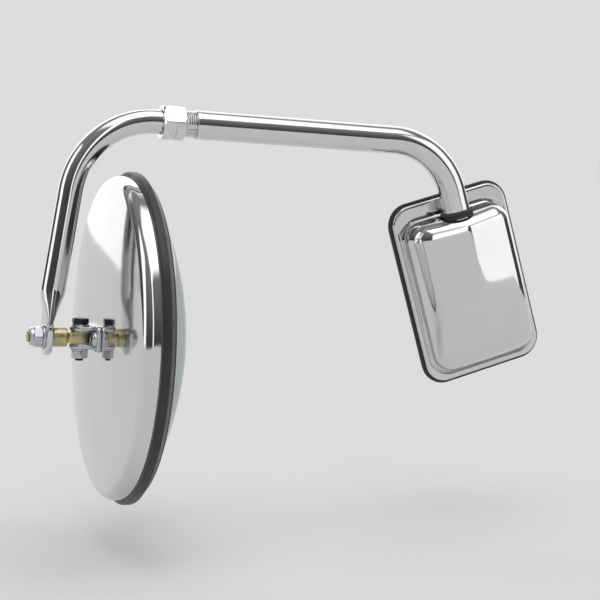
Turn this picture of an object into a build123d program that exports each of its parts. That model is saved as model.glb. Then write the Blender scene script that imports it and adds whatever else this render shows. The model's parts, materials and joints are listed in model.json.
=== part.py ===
from build123d import *
import os
from math import asin, cos, radians, sin, sqrt, tan

# A hood-mounted towing mirror: a pod that bolts to the hood, a bent two-piece telescoping arm and a round
# convex mirror head. Millimetres. +Z is up. The origin is the centre of the pod's back face, which lies in the
# XZ plane; +Y points into the hood, -Y out of it. The arm runs towards -X and the glass faces +X.

# ---- driving dimensions --------------------------------------------------------------------------------

# fits and gaps
RUNNING_FIT = 0.06          # radial clearance of what turns or slides in its own bore
LOOSE_GAP = 0.3             # gap between moving faces that are not a fit
BOLT_HOLE_GAP = 0.25        # radial clearance of a bolt in a plain hole

# pod
POD_W = 88.0
POD_H = 127.0
POD_CORNER_R = 14.0
POD_LEAN = 15.0             # degrees the pod's top leans towards -X
GASKET_T = 3.0
GASKET_LIP = 2.0            # how far the gasket shows round the cover
BASE_T = 2.0
COVER_WALL = 1.2
FLANGE_SIDE = 5.5           # flange width beside, below and above the raised body
FLANGE_BOTTOM = 7.0
FLANGE_TOP = 12.6
BODY_CORNER_R = 10.0
FACET_SLOPE = 12.0          # degrees each front facet falls from the central ridge
HIP_FALL = 9.0              # how far the lower front falls below the ridge at its bottom

# mounting studs
STUD_R = 3.175
STUD_SHOULDER_R = 3.6       # plain shoulder through the plate and the gasket, flush with the hood
STUD_HEAD_R = 5.5
STUD_HEAD_T = 2.0
STUD_REACH = 28.0           # length behind the gasket

# outer arm
ARM_OD = 19.05
ARM_WALL = 1.5
ARM_RISE = 101.0            # pod centre to the corner of the first bend, along the pod
ARM_BEND_R = 48.0
RUN_SLOPE = 4.0             # degrees the run climbs towards its far end
NECK_START = 176.5          # distances along the run, from the first corner
NUT_START = 184.5
NUT_LENGTH = 15.0
NECK_DEPTH = 0.8            # reduction of the threaded neck below the tube
TAIL_START = 102.0          # inner end of the sliding tube

# inner arm
SLIDE_GAP = 0.085           # radial clearance of the inner tube in the outer one
INNER_WALL = 1.5
INNER_BEND_R = 54.0
LEG_LEAN = 10.7             # degrees the lower leg leans, its foot towards -X
TAB_T = 4.0
TAB_W = 24.0
TAB_RISE = 10.0             # flat length above the swivel hole
TAPER_LENGTH = 22.0
HOLE_X = -302.0             # swivel hole in the flattened end
HOLE_Z = -27.0
HEAD_SLOPE = 3.0            # degrees the swivel axis falls towards the glass

# socket clamp inside the pod
BUSH_T = 1.5
CLAMP_WALL = 2.5
CLAMP_EAR = 9.0
CLAMP_EAR_T = 4.0
CLAMP_SPLIT = 1.0
CLAMP_SCREW_R = 2.5
CLAMP_SCREW_AF = 8.0
CLAMP_SCREW_HEAD = 3.5
CLAMP_WASHER_R = 4.75
CLAMP_WASHER_T = 1.0
END_BOLT_R = 4.0
END_BOLT_AF = 13.0
END_BOLT_HEAD = 5.3
END_WASHER_T = 2.0
END_PLUG_LENGTH = 18.0

# grommet
GROMMET_NECK_T = 1.0
GROMMET_LIP = 1.2
GROMMET_LIP_T = 1.8

# collar
NUT_WALL = 2.275            # the collar nut's flats outside the threaded neck
FERRULE_LENGTH = 4.2
FERRULE_WALL = 1.3

# head swivel and pivot
SWIVEL_STUD_R = 4.0
SWIVEL_NUT_AF = 13.0
SWIVEL_NUT_T = 8.0
SWIVEL_WASHER_R = 8.0
SWIVEL_WASHER_T = 1.6
SPRING_WASHER_T = 1.2
POST_R = 6.5
POST_LENGTH = 18.4          # seat of the post to the pivot axis
EYE_T = 7.0
EYE_CLEAR = 9.0             # pivot axis back to the post's full round
PIVOT_R = 3.0
PIVOT_AF = 10.0
PIVOT_HEAD = 4.0
PIVOT_NUT_T = 5.0
PIVOT_WASHER_T = 1.2
PIVOT_WASHER_R = 6.0
FRICTION_WASHER_T = 0.8
CLEVIS_T = 3.0
CLEVIS_EAR_R = 7.0
CLEVIS_BASE_W = 36.0
CLEVIS_BASE_H = 17.0
CLEVIS_SCREW_R = 2.5
CLEVIS_SCREW_X = 12.5
CLEVIS_SCREW_HEAD_R = 4.4
CLEVIS_SCREW_HEAD = 2.6
CLEVIS_NUT_AF = 8.0
CLEVIS_NUT_T = 4.0

# mirror head
SHELL_R = 106.0
SHELL_WALL = 0.8
SHELL_CORNER_R = 7.0
SHELL_BAND = 6.5            # straight rim beyond the corner
DOME_R = 560.0
BOSS_R = 20.0
PLATE_T = 1.5
PLATE_MARGIN = 1.0
GLASS_CURVE_R = 195.0
GLASS_T = 2.5
GLASS_INSET = 0.8           # glass edge inside the shell's outer radius
RIM_WEB = 1.0
RIM_SKIRT = 2.5             # gasket over the shell's band
RIM_WALL = 3.0              # gasket outside the shell
RIM_LIP = 4.0               # gasket over the glass, inwards from its edge
RIM_LIP_T = 1.6
RIM_LEDGE = 2.0             # gasket under the glass, inwards from its edge
RIM_FALL = 5.0              # how far the gasket's front falls from its lip to its outer edge
RIM_EDGE_R = 1.2

# ---- sizes worked out from them ------------------------------------------------------------------------

ARM_R = ARM_OD / 2
ARM_BORE_R = ARM_R - ARM_WALL
INNER_R = ARM_BORE_R - SLIDE_GAP
BASE_TOP = GASKET_T + BASE_T
FLANGE_FACE = BASE_TOP + COVER_WALL
GROMMET_BORE_R = ARM_R + LOOSE_GAP
GROMMET_NECK_R = GROMMET_BORE_R + GROMMET_NECK_T
GROMMET_LIP_R = GROMMET_NECK_R + GROMMET_LIP
ARM_DEPTH = FLANGE_FACE + LOOSE_GAP + GROMMET_LIP_R     # arm plane in front of the pod's back face
BUSH_R = ARM_R + RUNNING_FIT + BUSH_T
CLAMP_R = BUSH_R + CLAMP_WALL
RIDGE_DEPTH = ARM_DEPTH + CLAMP_R + 2.0 + COVER_WALL
BODY_W = POD_W - 2 * FLANGE_SIDE
BODY_H = POD_H - FLANGE_TOP - FLANGE_BOTTOM
BODY_MID = (FLANGE_BOTTOM - FLANGE_TOP) / 2
BODY_TOP = BODY_MID + BODY_H / 2
STUD_XY = BODY_W / 2 - COVER_WALL - STUD_HEAD_R - 0.7
SOCKET_TOP = STUD_XY - STUD_HEAD_R - 2.5
SOCKET_LOW = 8.0 - SOCKET_TOP
ARM_START = SOCKET_LOW - 1.0
CLAMP_SCREW_X = CLAMP_R + CLAMP_EAR / 2
CLAMP_SCREW_IN = 8.0
NECK_R = ARM_R - NECK_DEPTH
NUT_AF = 2 * (NECK_R + NUT_WALL)
NUT_END = NUT_START + NUT_LENGTH
FERRULE_END = NUT_END - 1.0
ARM_END = FERRULE_END - FERRULE_LENGTH
FERRULE_R = INNER_R + RUNNING_FIT + FERRULE_WALL
SPRING_SEAT = TAB_T / 2 + SPRING_WASHER_T
PIVOT_Z = SPRING_SEAT + POST_LENGTH
EAR_IN = EYE_T / 2 + FRICTION_WASHER_T + RUNNING_FIT
EAR_OUT = EAR_IN + CLEVIS_T
CLEVIS_SEAT = PIVOT_Z + CLEVIS_EAR_R + 0.5
APEX_Z = CLEVIS_SEAT + CLEVIS_T
PLATE_Z = APEX_Z + SHELL_WALL
DOME_ANGLE = asin((SHELL_R - SHELL_CORNER_R - BOSS_R) / (DOME_R - SHELL_CORNER_R))
CORNER_A = DOME_R * (1 - cos(DOME_ANGLE)) + SHELL_CORNER_R * cos(DOME_ANGLE)
SHELL_DEPTH = CORNER_A + SHELL_BAND
GLASS_R = SHELL_R - GLASS_INSET
GLASS_BACK_R = GLASS_CURVE_R - GLASS_T
GLASS_CENTRE_A = SHELL_DEPTH + RIM_WEB - sqrt(GLASS_BACK_R ** 2 - GLASS_R ** 2)
LIP_R = GLASS_R - RIM_LIP
LIP_A = GLASS_CENTRE_A + sqrt(GLASS_CURVE_R ** 2 - LIP_R ** 2) + RIM_LIP_T
RIM_R = SHELL_R + RIM_WALL


def heading(angle):
    """Unit vector in the XZ plane, turned from +X towards +Z."""
    return Vector(cos(radians(angle)), 0, sin(radians(angle)))


# ---- frames --------------------------------------------------------------------------------------------

POD_UP = heading(90 + POD_LEAN)
RUN_DIR = heading(180 - RUN_SLOPE)
LEG_DIR = heading(270 - LEG_LEAN)
TAB_UP = heading(90 - HEAD_SLOPE)
ARM_ORIGIN = Vector(0, -ARM_DEPTH, 0)
CORNER_1 = ARM_ORIGIN + POD_UP * ARM_RISE
HOLE = Vector(HOLE_X, -ARM_DEPTH, HOLE_Z)
LEG_FOOT = HOLE + TAB_UP * TAB_RISE
LEG_END = LEG_FOOT - LEG_DIR * TAPER_LENGTH

# pod frame: x across, y up along the pod, z out of the hood
POD = Plane(origin=(0, 0, 0), x_dir=heading(POD_LEAN), z_dir=(0, -1, 0))
# run frame: z along the run from the first corner
RUN = Plane(origin=CORNER_1, x_dir=(0, 1, 0), z_dir=RUN_DIR)
# socket frame: z up along the pod, on the arm's axis
SOCKET = Plane(origin=ARM_ORIGIN, x_dir=heading(POD_LEAN), z_dir=POD_UP)
# head frame: z along the swivel axis towards the glass, y up
HEAD = Plane(origin=HOLE, x_dir=(0, 1, 0), z_dir=heading(-HEAD_SLOPE))


def run_to_leg():
    """Distance along the run at which it meets the line of the lower leg."""
    gap = LEG_END - CORNER_1
    cross = RUN_DIR.X * LEG_DIR.Z - RUN_DIR.Z * LEG_DIR.X
    return (gap.X * LEG_DIR.Z - gap.Z * LEG_DIR.X) / cross


CORNER_2 = CORNER_1 + RUN_DIR * run_to_leg()


# ---- helpers -------------------------------------------------------------------------------------------

def disc(radius, low, high):
    """Solid cylinder on the Z axis."""
    return extrude(Pos(0, 0, low) * Circle(radius), high - low)


def ring(outer, inner, low, high):
    """Hollow cylinder on the Z axis."""
    return extrude(Pos(0, 0, low) * (Circle(outer) - Circle(inner)), high - low)


def hexagon(across, low, high, bevel=0.6):
    """Hexagonal prism on the Z axis, its corners turned off at both ends."""
    prism = extrude(Pos(0, 0, low) * RegularPolygon(across / 2, 6, major_radius=False), high - low)
    corner = across / sqrt(3)
    slug = chamfer(disc(corner, low, high).edges().filter_by(GeomType.CIRCLE), bevel)
    return prism & slug


def slab(width, height, corner, low, high):
    """Rounded rectangular plate, centred on Z."""
    return extrude(Pos(0, 0, low) * RectangleRounded(width, height, corner), high - low)


def revolved(points_and_arcs):
    """Turned solid about Z from a closed outline in the XZ plane."""
    return revolve(make_face(points_and_arcs), Axis.Z)


def corners(x, y):
    """The four corners of a rectangle with those half sides."""
    return [(x, y), (-x, y), (-x, -y), (x, -y)]


def tube(path, outer, inner):
    """Round tube along a path, or a rod where the inner radius is zero."""
    profile = Circle(outer)
    if inner > 0:
        profile = profile - Circle(inner)
    return sweep(Plane(origin=path @ 0, z_dir=path % 0) * profile, path=path)


# ---- pod -----------------------------------------------------------------------------------------------

def stud_places():
    return corners(STUD_XY, STUD_XY)


def pod_gasket():
    grow = GASKET_LIP
    sheet = slab(POD_W + 2 * grow, POD_H + 2 * grow, POD_CORNER_R + grow, 0, GASKET_T)
    for x, y in stud_places():
        sheet -= Pos(x, y, 0) * disc(STUD_SHOULDER_R + BOLT_HOLE_GAP, -1, GASKET_T + 1)
    return POD.location * sheet


def base_outline(low, high):
    cut = 2 * COVER_WALL
    return slab(POD_W - cut, POD_H - cut, POD_CORNER_R - COVER_WALL, low, high)


def pod_base_plate():
    plate = base_outline(GASKET_T, BASE_TOP)
    for x, y in stud_places():
        plate -= Pos(x, y, 0) * disc(STUD_SHOULDER_R, 0, BASE_TOP + 1)
    return POD.location * plate


def mounting_studs():
    studs = []
    for x, y in stud_places():
        shank = disc(STUD_R, -STUD_REACH, 0)
        shank = chamfer(shank.edges().sort_by(Axis.Z)[0], 0.8)
        shoulder = disc(STUD_SHOULDER_R, 0, BASE_TOP)
        head = disc(STUD_HEAD_R, BASE_TOP, BASE_TOP + STUD_HEAD_T)
        studs.append(POD.location * (Pos(x, y, 0) * (shank + shoulder + head)))
    return Compound(children=studs)


def raised_body(inset, low):
    """Front of the pod: a rounded block under two facets that fall from a ridge and a hip below it."""
    width = BODY_W - 2 * inset
    height = BODY_H - 2 * inset
    ridge = RIDGE_DEPTH - inset / cos(radians(FACET_SLOPE))
    side = ridge - BODY_W * tan(radians(FACET_SLOPE))
    block = Pos(0, BODY_MID, 0) * slab(width, height, BODY_CORNER_R - inset, low, ridge)
    gable = Polyline((-BODY_W, low), (BODY_W, low), (BODY_W, side), (0, ridge), (-BODY_W, side), close=True)
    gable = extrude(Plane.XZ * make_face(gable), POD_H, both=True)
    foot = BODY_MID - BODY_H / 2
    brow = (SOCKET_LOW - 1.0, ridge)
    hip = Polyline((POD_H, low), (POD_H, ridge), brow, (foot, ridge - HIP_FALL), (foot, low), close=True)
    hip = extrude(Plane.YZ * make_face(hip), POD_W, both=True)
    return block & gable & hip


def pod_cover():
    shell = slab(POD_W, POD_H, POD_CORNER_R, GASKET_T, FLANGE_FACE)
    shell += raised_body(0, BASE_TOP)
    shell -= base_outline(GASKET_T - 1, BASE_TOP)
    shell -= raised_body(COVER_WALL, BASE_TOP - 1)
    entry = SOCKET.location * disc(GROMMET_NECK_R, BODY_TOP - 6, BODY_TOP + 6)
    return POD.location * shell - entry


def tube_grommet():
    inside = BODY_TOP - COVER_WALL
    body = ring(GROMMET_NECK_R, GROMMET_BORE_R, inside - GROMMET_LIP_T, BODY_TOP + GROMMET_LIP_T)
    body += ring(GROMMET_LIP_R, GROMMET_BORE_R, BODY_TOP, BODY_TOP + GROMMET_LIP_T)
    body += ring(GROMMET_NECK_R + 0.4, GROMMET_BORE_R, inside - GROMMET_LIP_T, inside)
    return SOCKET.location * body


def socket_block(low, high):
    """Block between two depths over the socket's length, in the pod frame."""
    width = 2 * (CLAMP_R + CLAMP_EAR)
    length = SOCKET_TOP - SOCKET_LOW
    return Pos(0, SOCKET_LOW + length / 2, 0) * slab(width, length, 3, low, high)


def bush_space():
    return SOCKET.location * disc(BUSH_R, SOCKET_LOW - 1, SOCKET_TOP + 1)


def clamp_screw_places():
    half = (SOCKET_TOP - SOCKET_LOW) / 2
    middle = (SOCKET_TOP + SOCKET_LOW) / 2
    return [(x, y + middle) for x, y in corners(CLAMP_SCREW_X, half - CLAMP_SCREW_IN)]


CLAMP_FACE = ARM_DEPTH + CLAMP_SPLIT / 2
CLAMP_EAR_TOP = CLAMP_FACE + CLAMP_EAR_T
CLAMP_SCREW_TIP = BASE_TOP + 3.0


def tube_socket():
    block = socket_block(BASE_TOP, ARM_DEPTH - CLAMP_SPLIT / 2)
    for x, y in clamp_screw_places():
        block -= Pos(x, y, 0) * disc(CLAMP_SCREW_R, CLAMP_SCREW_TIP, ARM_DEPTH)
    return POD.location * block - bush_space()


def socket_cap():
    cap = socket_block(CLAMP_FACE, CLAMP_EAR_TOP)
    for x, y in clamp_screw_places():
        cap -= Pos(x, y, 0) * disc(CLAMP_SCREW_R + BOLT_HOLE_GAP, 0, RIDGE_DEPTH)
    cap = POD.location * cap
    arch = SOCKET.location * disc(CLAMP_R, SOCKET_LOW, SOCKET_TOP)
    arch &= POD.location * socket_block(CLAMP_FACE, RIDGE_DEPTH)
    return cap + arch - bush_space()


def socket_screws():
    screws = []
    for x, y in clamp_screw_places():
        seat = CLAMP_EAR_TOP + CLAMP_WASHER_T
        screw = disc(CLAMP_SCREW_R, CLAMP_SCREW_TIP, seat)
        screw += hexagon(CLAMP_SCREW_AF, seat, seat + CLAMP_SCREW_HEAD)
        screws.append(POD.location * (Pos(x, y, 0) * screw))
    return Compound(children=screws)


def socket_washers():
    washer = ring(CLAMP_WASHER_R, CLAMP_SCREW_R, CLAMP_EAR_TOP, CLAMP_EAR_TOP + CLAMP_WASHER_T)
    return Compound(children=[POD.location * (Pos(x, y, 0) * washer) for x, y in clamp_screw_places()])


def socket_bushing():
    bush = ring(BUSH_R, ARM_R + RUNNING_FIT, SOCKET_LOW, SOCKET_TOP)
    bush -= Pos(BUSH_R, 0, (SOCKET_LOW + SOCKET_TOP) / 2) * Box(2 * BUSH_T + 2, 1.0, SOCKET_TOP - SOCKET_LOW + 2)
    return SOCKET.location * bush


# ---- outer arm -----------------------------------------------------------------------------------------

def outer_arm_tube():
    start = ARM_ORIGIN + POD_UP * ARM_START
    end = CORNER_1 + RUN_DIR * ARM_END
    path = FilletPolyline(start, CORNER_1, end, radius=ARM_BEND_R)
    arm = tube(path, ARM_R, ARM_BORE_R)
    return arm - RUN.location * ring(ARM_R + 1, NECK_R, NECK_START, ARM_END + 1)


def arm_end_plug():
    plug = ring(ARM_BORE_R, END_BOLT_R, ARM_START, ARM_START + END_PLUG_LENGTH)
    return SOCKET.location * plug


def arm_end_washer():
    washer = ring(BUSH_R + CLAMP_WALL / 2, END_BOLT_R + BOLT_HOLE_GAP, ARM_START - END_WASHER_T, ARM_START)
    return SOCKET.location * washer


def arm_end_bolt():
    seat = ARM_START - END_WASHER_T
    bolt = disc(END_BOLT_R, seat, ARM_START + END_PLUG_LENGTH - 2)
    bolt += hexagon(END_BOLT_AF, seat - END_BOLT_HEAD, seat)
    return SOCKET.location * bolt


# ---- collar --------------------------------------------------------------------------------------------

def collar_nut():
    nut = hexagon(NUT_AF, NUT_START, NUT_END, 1.2)
    nut -= disc(NECK_R + RUNNING_FIT, NUT_START - 1, ARM_END)
    nut -= disc(FERRULE_R + 2 * LOOSE_GAP, ARM_END, FERRULE_END - LOOSE_GAP + 2 * LOOSE_GAP)
    nut -= disc(INNER_R + LOOSE_GAP, NUT_START, NUT_END + 1)
    return RUN.location * nut


def collar_ferrule():
    body = ring(FERRULE_R, INNER_R + RUNNING_FIT, ARM_END + LOOSE_GAP, FERRULE_END)
    body = chamfer(body.edges().filter_by(GeomType.CIRCLE).sort_by(SortBy.RADIUS)[-2:], FERRULE_WALL / 2)
    body -= Pos(INNER_R + FERRULE_WALL, 0, FERRULE_END) * Box(4 * FERRULE_WALL, 1.2, 4 * FERRULE_LENGTH)
    return RUN.location * body


# ---- inner arm -----------------------------------------------------------------------------------------

def flattened(path_end, radius, half_width, half_thickness):
    """Round tube end pressed towards a flat oval."""
    top = Plane(origin=path_end, x_dir=(0, 1, 0), z_dir=LEG_DIR) * Circle(radius)
    foot = Plane(origin=LEG_FOOT, x_dir=(0, 1, 0), z_dir=TAB_UP * -1) * Ellipse(half_width, half_thickness)
    return loft([top, foot])


def inner_arm_tube():
    path = FilletPolyline(CORNER_1 + RUN_DIR * TAIL_START, CORNER_2, LEG_END, radius=INNER_BEND_R)
    bore = INNER_R - INNER_WALL
    arm = tube(path, INNER_R, bore)
    arm += flattened(LEG_END, INNER_R, TAB_W / 2, TAB_T / 2)
    arm -= flattened(LEG_END, bore, TAB_W / 2 - INNER_WALL, TAB_T / 10)
    tab = Pos(0, TAB_RISE / 2, 0) * Rectangle(TAB_W, TAB_RISE) + Circle(TAB_W / 2)
    tab = extrude(Pos(0, 0, -TAB_T / 2) * tab, TAB_T)
    tab -= disc(SWIVEL_STUD_R + RUNNING_FIT, -TAB_T, TAB_T)
    return arm + HEAD.location * tab


def spring_washer():
    return HEAD.location * ring(SWIVEL_WASHER_R - 0.5, SWIVEL_STUD_R + BOLT_HOLE_GAP, TAB_T / 2, SPRING_SEAT)


# ---- swivel --------------------------------------------------------------------------------------------

def swivel_post():
    body = disc(POST_R, SPRING_SEAT, PIVOT_Z - EYE_CLEAR)
    body = chamfer(body.edges().filter_by(GeomType.CIRCLE), 0.6)
    shank = disc(POST_R - 0.6, PIVOT_Z - EYE_CLEAR - 1, PIVOT_Z + POST_R)
    cheek = Rot(90, 0, 0) * disc(POST_R, -EYE_T / 2, EYE_T / 2)
    blank = Box(2 * POST_R, EYE_T, EYE_CLEAR + 1, align=(Align.CENTER, Align.CENTER, Align.MAX))
    eye = Pos(0, 0, PIVOT_Z) * (cheek + blank)
    body += eye & (shank + Pos(0, 0, PIVOT_Z) * cheek)
    body -= Pos(0, 0, PIVOT_Z) * Rot(90, 0, 0) * disc(PIVOT_R + RUNNING_FIT, -POST_R, POST_R)
    stud_end = -TAB_T / 2 - SWIVEL_WASHER_T - SWIVEL_NUT_T - 1.5
    stud = disc(SWIVEL_STUD_R, stud_end, SPRING_SEAT + 1)
    return HEAD.location * (body + chamfer(stud.edges().sort_by(Axis.Z)[0], 0.8))


def swivel_washer():
    seat = -TAB_T / 2
    return HEAD.location * ring(SWIVEL_WASHER_R, SWIVEL_STUD_R + BOLT_HOLE_GAP, seat - SWIVEL_WASHER_T, seat)


def swivel_nut():
    seat = -TAB_T / 2 - SWIVEL_WASHER_T
    nut = hexagon(SWIVEL_NUT_AF, seat - SWIVEL_NUT_T * 0.7, seat)
    nut += disc(SWIVEL_NUT_AF / 2 - 0.7, seat - SWIVEL_NUT_T, seat)
    return HEAD.location * (nut - disc(SWIVEL_STUD_R, seat - 2 * SWIVEL_NUT_T, seat + 1))


# ---- pivot ---------------------------------------------------------------------------------------------

# pivot frame: z up along the pivot bolt
PIVOT = Plane(origin=HOLE + heading(-HEAD_SLOPE) * PIVOT_Z, x_dir=(0, 1, 0), z_dir=TAB_UP)
PIVOT_SEAT = EAR_OUT + PIVOT_WASHER_T


def pivot_bolt():
    bolt = disc(PIVOT_R, -PIVOT_SEAT - PIVOT_NUT_T - 1.5, PIVOT_SEAT)
    bolt = chamfer(bolt.edges().sort_by(Axis.Z)[0], 0.6)
    return PIVOT.location * (bolt + hexagon(PIVOT_AF, PIVOT_SEAT, PIVOT_SEAT + PIVOT_HEAD))


def pivot_washers():
    upper = ring(PIVOT_WASHER_R, PIVOT_R + BOLT_HOLE_GAP, EAR_OUT, PIVOT_SEAT)
    lower = ring(PIVOT_WASHER_R, PIVOT_R + BOLT_HOLE_GAP, -PIVOT_SEAT, -EAR_OUT)
    return Compound(children=[PIVOT.location * upper, PIVOT.location * lower])


def pivot_nut():
    nut = hexagon(PIVOT_AF, -PIVOT_SEAT - PIVOT_NUT_T, -PIVOT_SEAT)
    return PIVOT.location * (nut - disc(PIVOT_R, -2 * PIVOT_SEAT, 0))


def friction_washers():
    upper = ring(CLEVIS_EAR_R - 1, PIVOT_R + BOLT_HOLE_GAP, EAR_IN - FRICTION_WASHER_T, EAR_IN)
    lower = ring(CLEVIS_EAR_R - 1, PIVOT_R + BOLT_HOLE_GAP, -EAR_IN, FRICTION_WASHER_T - EAR_IN)
    return Compound(children=[PIVOT.location * upper, PIVOT.location * lower])


def mirror_clevis():
    base = slab(CLEVIS_BASE_W, CLEVIS_BASE_H, 4, CLEVIS_SEAT, APEX_Z)
    for side in (-1, 1):
        base -= Pos(side * CLEVIS_SCREW_X, 0, 0) * disc(CLEVIS_SCREW_R, 0, APEX_Z + 1)
    reach = CLEVIS_SEAT - PIVOT_Z + 1
    ear = disc(CLEVIS_EAR_R, EAR_IN, EAR_OUT) - disc(PIVOT_R, 0, EAR_OUT + 1)
    arm = Box(2 * CLEVIS_EAR_R, reach, CLEVIS_T, align=(Align.CENTER, Align.MAX, Align.MIN))
    arm = Pos(0, 0, EAR_IN) * arm - disc(PIVOT_R, 0, EAR_OUT + 1)
    ear += arm
    turned = PIVOT.location * ear
    lower = PIVOT.location * (Pos(0, 0, -EAR_IN - EAR_OUT) * ear)
    return HEAD.location * base + turned + lower


# ---- mirror head ---------------------------------------------------------------------------------------

def clevis_screws():
    tip = PLATE_Z + PLATE_T + CLEVIS_NUT_T + 1.5
    screws = []
    for side in (-1, 1):
        screw = disc(CLEVIS_SCREW_R, CLEVIS_SEAT, tip)
        head = disc(CLEVIS_SCREW_HEAD_R, CLEVIS_SEAT - CLEVIS_SCREW_HEAD, CLEVIS_SEAT)
        head = fillet(head.edges().sort_by(Axis.Z)[0], CLEVIS_SCREW_HEAD / 2)
        screws.append(HEAD.location * (Pos(side * CLEVIS_SCREW_X, 0, 0) * (screw + head)))
    return Compound(children=screws)


def clevis_screw_nuts():
    seat = PLATE_Z + PLATE_T
    nut = hexagon(CLEVIS_NUT_AF, seat, seat + CLEVIS_NUT_T, 0.4) - disc(CLEVIS_SCREW_R, 0, seat + 9)
    return Compound(children=[HEAD.location * (Pos(side * CLEVIS_SCREW_X, 0, 0) * nut) for side in (-1, 1)])


def backing_plate():
    plate = disc(BOSS_R - PLATE_MARGIN, PLATE_Z, PLATE_Z + PLATE_T)
    for side in (-1, 1):
        plate -= Pos(side * CLEVIS_SCREW_X, 0, 0) * disc(CLEVIS_SCREW_R, 0, PLATE_Z + 9)
    return HEAD.location * plate


def dome(inset, depth):
    """Filled dish: flat boss, shallow dome, tight corner and straight band, its surface moved in by inset."""
    def on_dome(angle):
        reach = DOME_R - inset
        return (BOSS_R + reach * sin(angle), 0, DOME_R - reach * cos(angle))

    def on_corner(angle):
        reach = SHELL_CORNER_R - inset
        return (SHELL_R - SHELL_CORNER_R + reach * sin(angle), 0, CORNER_A - reach * cos(angle))

    quarter = radians(90)
    crown = ThreePointArc(on_dome(0), on_dome(DOME_ANGLE / 2), on_dome(DOME_ANGLE))
    bend = ThreePointArc(on_corner(DOME_ANGLE), on_corner((DOME_ANGLE + quarter) / 2), on_corner(quarter))
    flat = Line((0, 0, inset), on_dome(0))
    back = Polyline(on_corner(quarter), (SHELL_R - inset, 0, depth), (0, 0, depth), (0, 0, inset))
    return revolved(flat + crown + bend + back)


def mirror_shell():
    shell = dome(0, SHELL_DEPTH) - dome(SHELL_WALL, SHELL_DEPTH + 1)
    for side in (-1, 1):
        shell -= Pos(side * CLEVIS_SCREW_X, 0, 0) * disc(CLEVIS_SCREW_R, -1, SHELL_WALL + 1)
    return HEAD.location * (Pos(0, 0, APEX_Z) * shell)


def glass_solid():
    """Convex pane: two spheres on one centre, cut by a cylinder."""
    def on_sphere(radius, share):
        reach = share * GLASS_R
        return (reach, 0, GLASS_CENTRE_A + sqrt(radius ** 2 - reach ** 2))

    front = ThreePointArc(on_sphere(GLASS_CURVE_R, 0), on_sphere(GLASS_CURVE_R, 0.5), on_sphere(GLASS_CURVE_R, 1))
    back = ThreePointArc(on_sphere(GLASS_BACK_R, 1), on_sphere(GLASS_BACK_R, 0.5), on_sphere(GLASS_BACK_R, 0))
    edge = Line(on_sphere(GLASS_CURVE_R, 1), on_sphere(GLASS_BACK_R, 1))
    axis = Line(on_sphere(GLASS_BACK_R, 0), on_sphere(GLASS_CURVE_R, 0))
    return revolved(front + edge + back + axis)


def mirror_glass():
    return HEAD.location * (Pos(0, 0, APEX_Z) * glass_solid())


def rim_gasket():
    low = SHELL_DEPTH - RIM_SKIRT
    crest = LIP_R + RIM_LIP / 4
    outline = [(LIP_R, 0, low), (RIM_R, 0, low), (RIM_R, 0, LIP_A - RIM_FALL), (crest, 0, LIP_A), (LIP_R, 0, LIP_A)]
    band = revolved(Polyline(outline, close=True))
    band = fillet(band.edges().filter_by(GeomType.CIRCLE).sort_by(SortBy.RADIUS)[-2:], RIM_EDGE_R)
    band -= dome(0, SHELL_DEPTH)
    band -= glass_solid()
    under_lip = GLASS_CENTRE_A + sqrt(GLASS_BACK_R ** 2 - LIP_R ** 2)
    band -= disc(GLASS_R - RIM_LEDGE, SHELL_DEPTH - RIM_SKIRT - 1, under_lip)
    band -= disc(SHELL_R, SHELL_DEPTH - RIM_SKIRT - 1, SHELL_DEPTH)
    return HEAD.location * (Pos(0, 0, APEX_Z) * band)


PARTS = [
    pod_gasket, pod_base_plate, mounting_studs, tube_socket, socket_cap, socket_screws, socket_washers,
    socket_bushing, pod_cover, tube_grommet,
    outer_arm_tube, arm_end_plug, arm_end_washer, arm_end_bolt,
    collar_nut, collar_ferrule, inner_arm_tube, spring_washer,
    swivel_post, swivel_washer, swivel_nut,
    pivot_bolt, pivot_washers, pivot_nut, friction_washers, mirror_clevis,
    clevis_screws, clevis_screw_nuts, backing_plate, mirror_shell, rim_gasket, mirror_glass,
]

os.makedirs("parts", exist_ok=True)
for make in PARTS:
    export_step(make(), f"parts/{make.__name__}.step")
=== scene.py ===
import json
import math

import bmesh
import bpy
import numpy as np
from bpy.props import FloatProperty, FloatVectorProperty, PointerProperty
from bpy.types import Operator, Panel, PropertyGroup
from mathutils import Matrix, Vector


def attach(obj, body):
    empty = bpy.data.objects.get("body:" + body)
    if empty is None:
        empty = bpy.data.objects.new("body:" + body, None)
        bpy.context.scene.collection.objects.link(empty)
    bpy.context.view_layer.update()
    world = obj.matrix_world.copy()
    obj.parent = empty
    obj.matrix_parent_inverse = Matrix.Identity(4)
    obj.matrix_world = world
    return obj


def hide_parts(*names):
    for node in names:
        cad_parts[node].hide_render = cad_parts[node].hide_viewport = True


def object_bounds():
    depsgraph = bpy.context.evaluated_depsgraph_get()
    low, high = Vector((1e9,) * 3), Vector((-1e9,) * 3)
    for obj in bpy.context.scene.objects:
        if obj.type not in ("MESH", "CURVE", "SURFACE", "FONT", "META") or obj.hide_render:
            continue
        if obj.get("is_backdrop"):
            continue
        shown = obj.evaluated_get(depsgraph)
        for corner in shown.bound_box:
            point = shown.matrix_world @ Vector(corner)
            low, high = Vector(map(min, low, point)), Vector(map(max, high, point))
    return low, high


bl_info = {
    "name": "Towing mirror",
    "version": (1, 0, 0),
    "blender": (4, 5, 0),
    "location": "3D View > Sidebar > Towing mirror",
    "description": "Builds the visible pieces and finishes of a hood-mounted towing mirror",
    "category": "Object",
}

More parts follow.
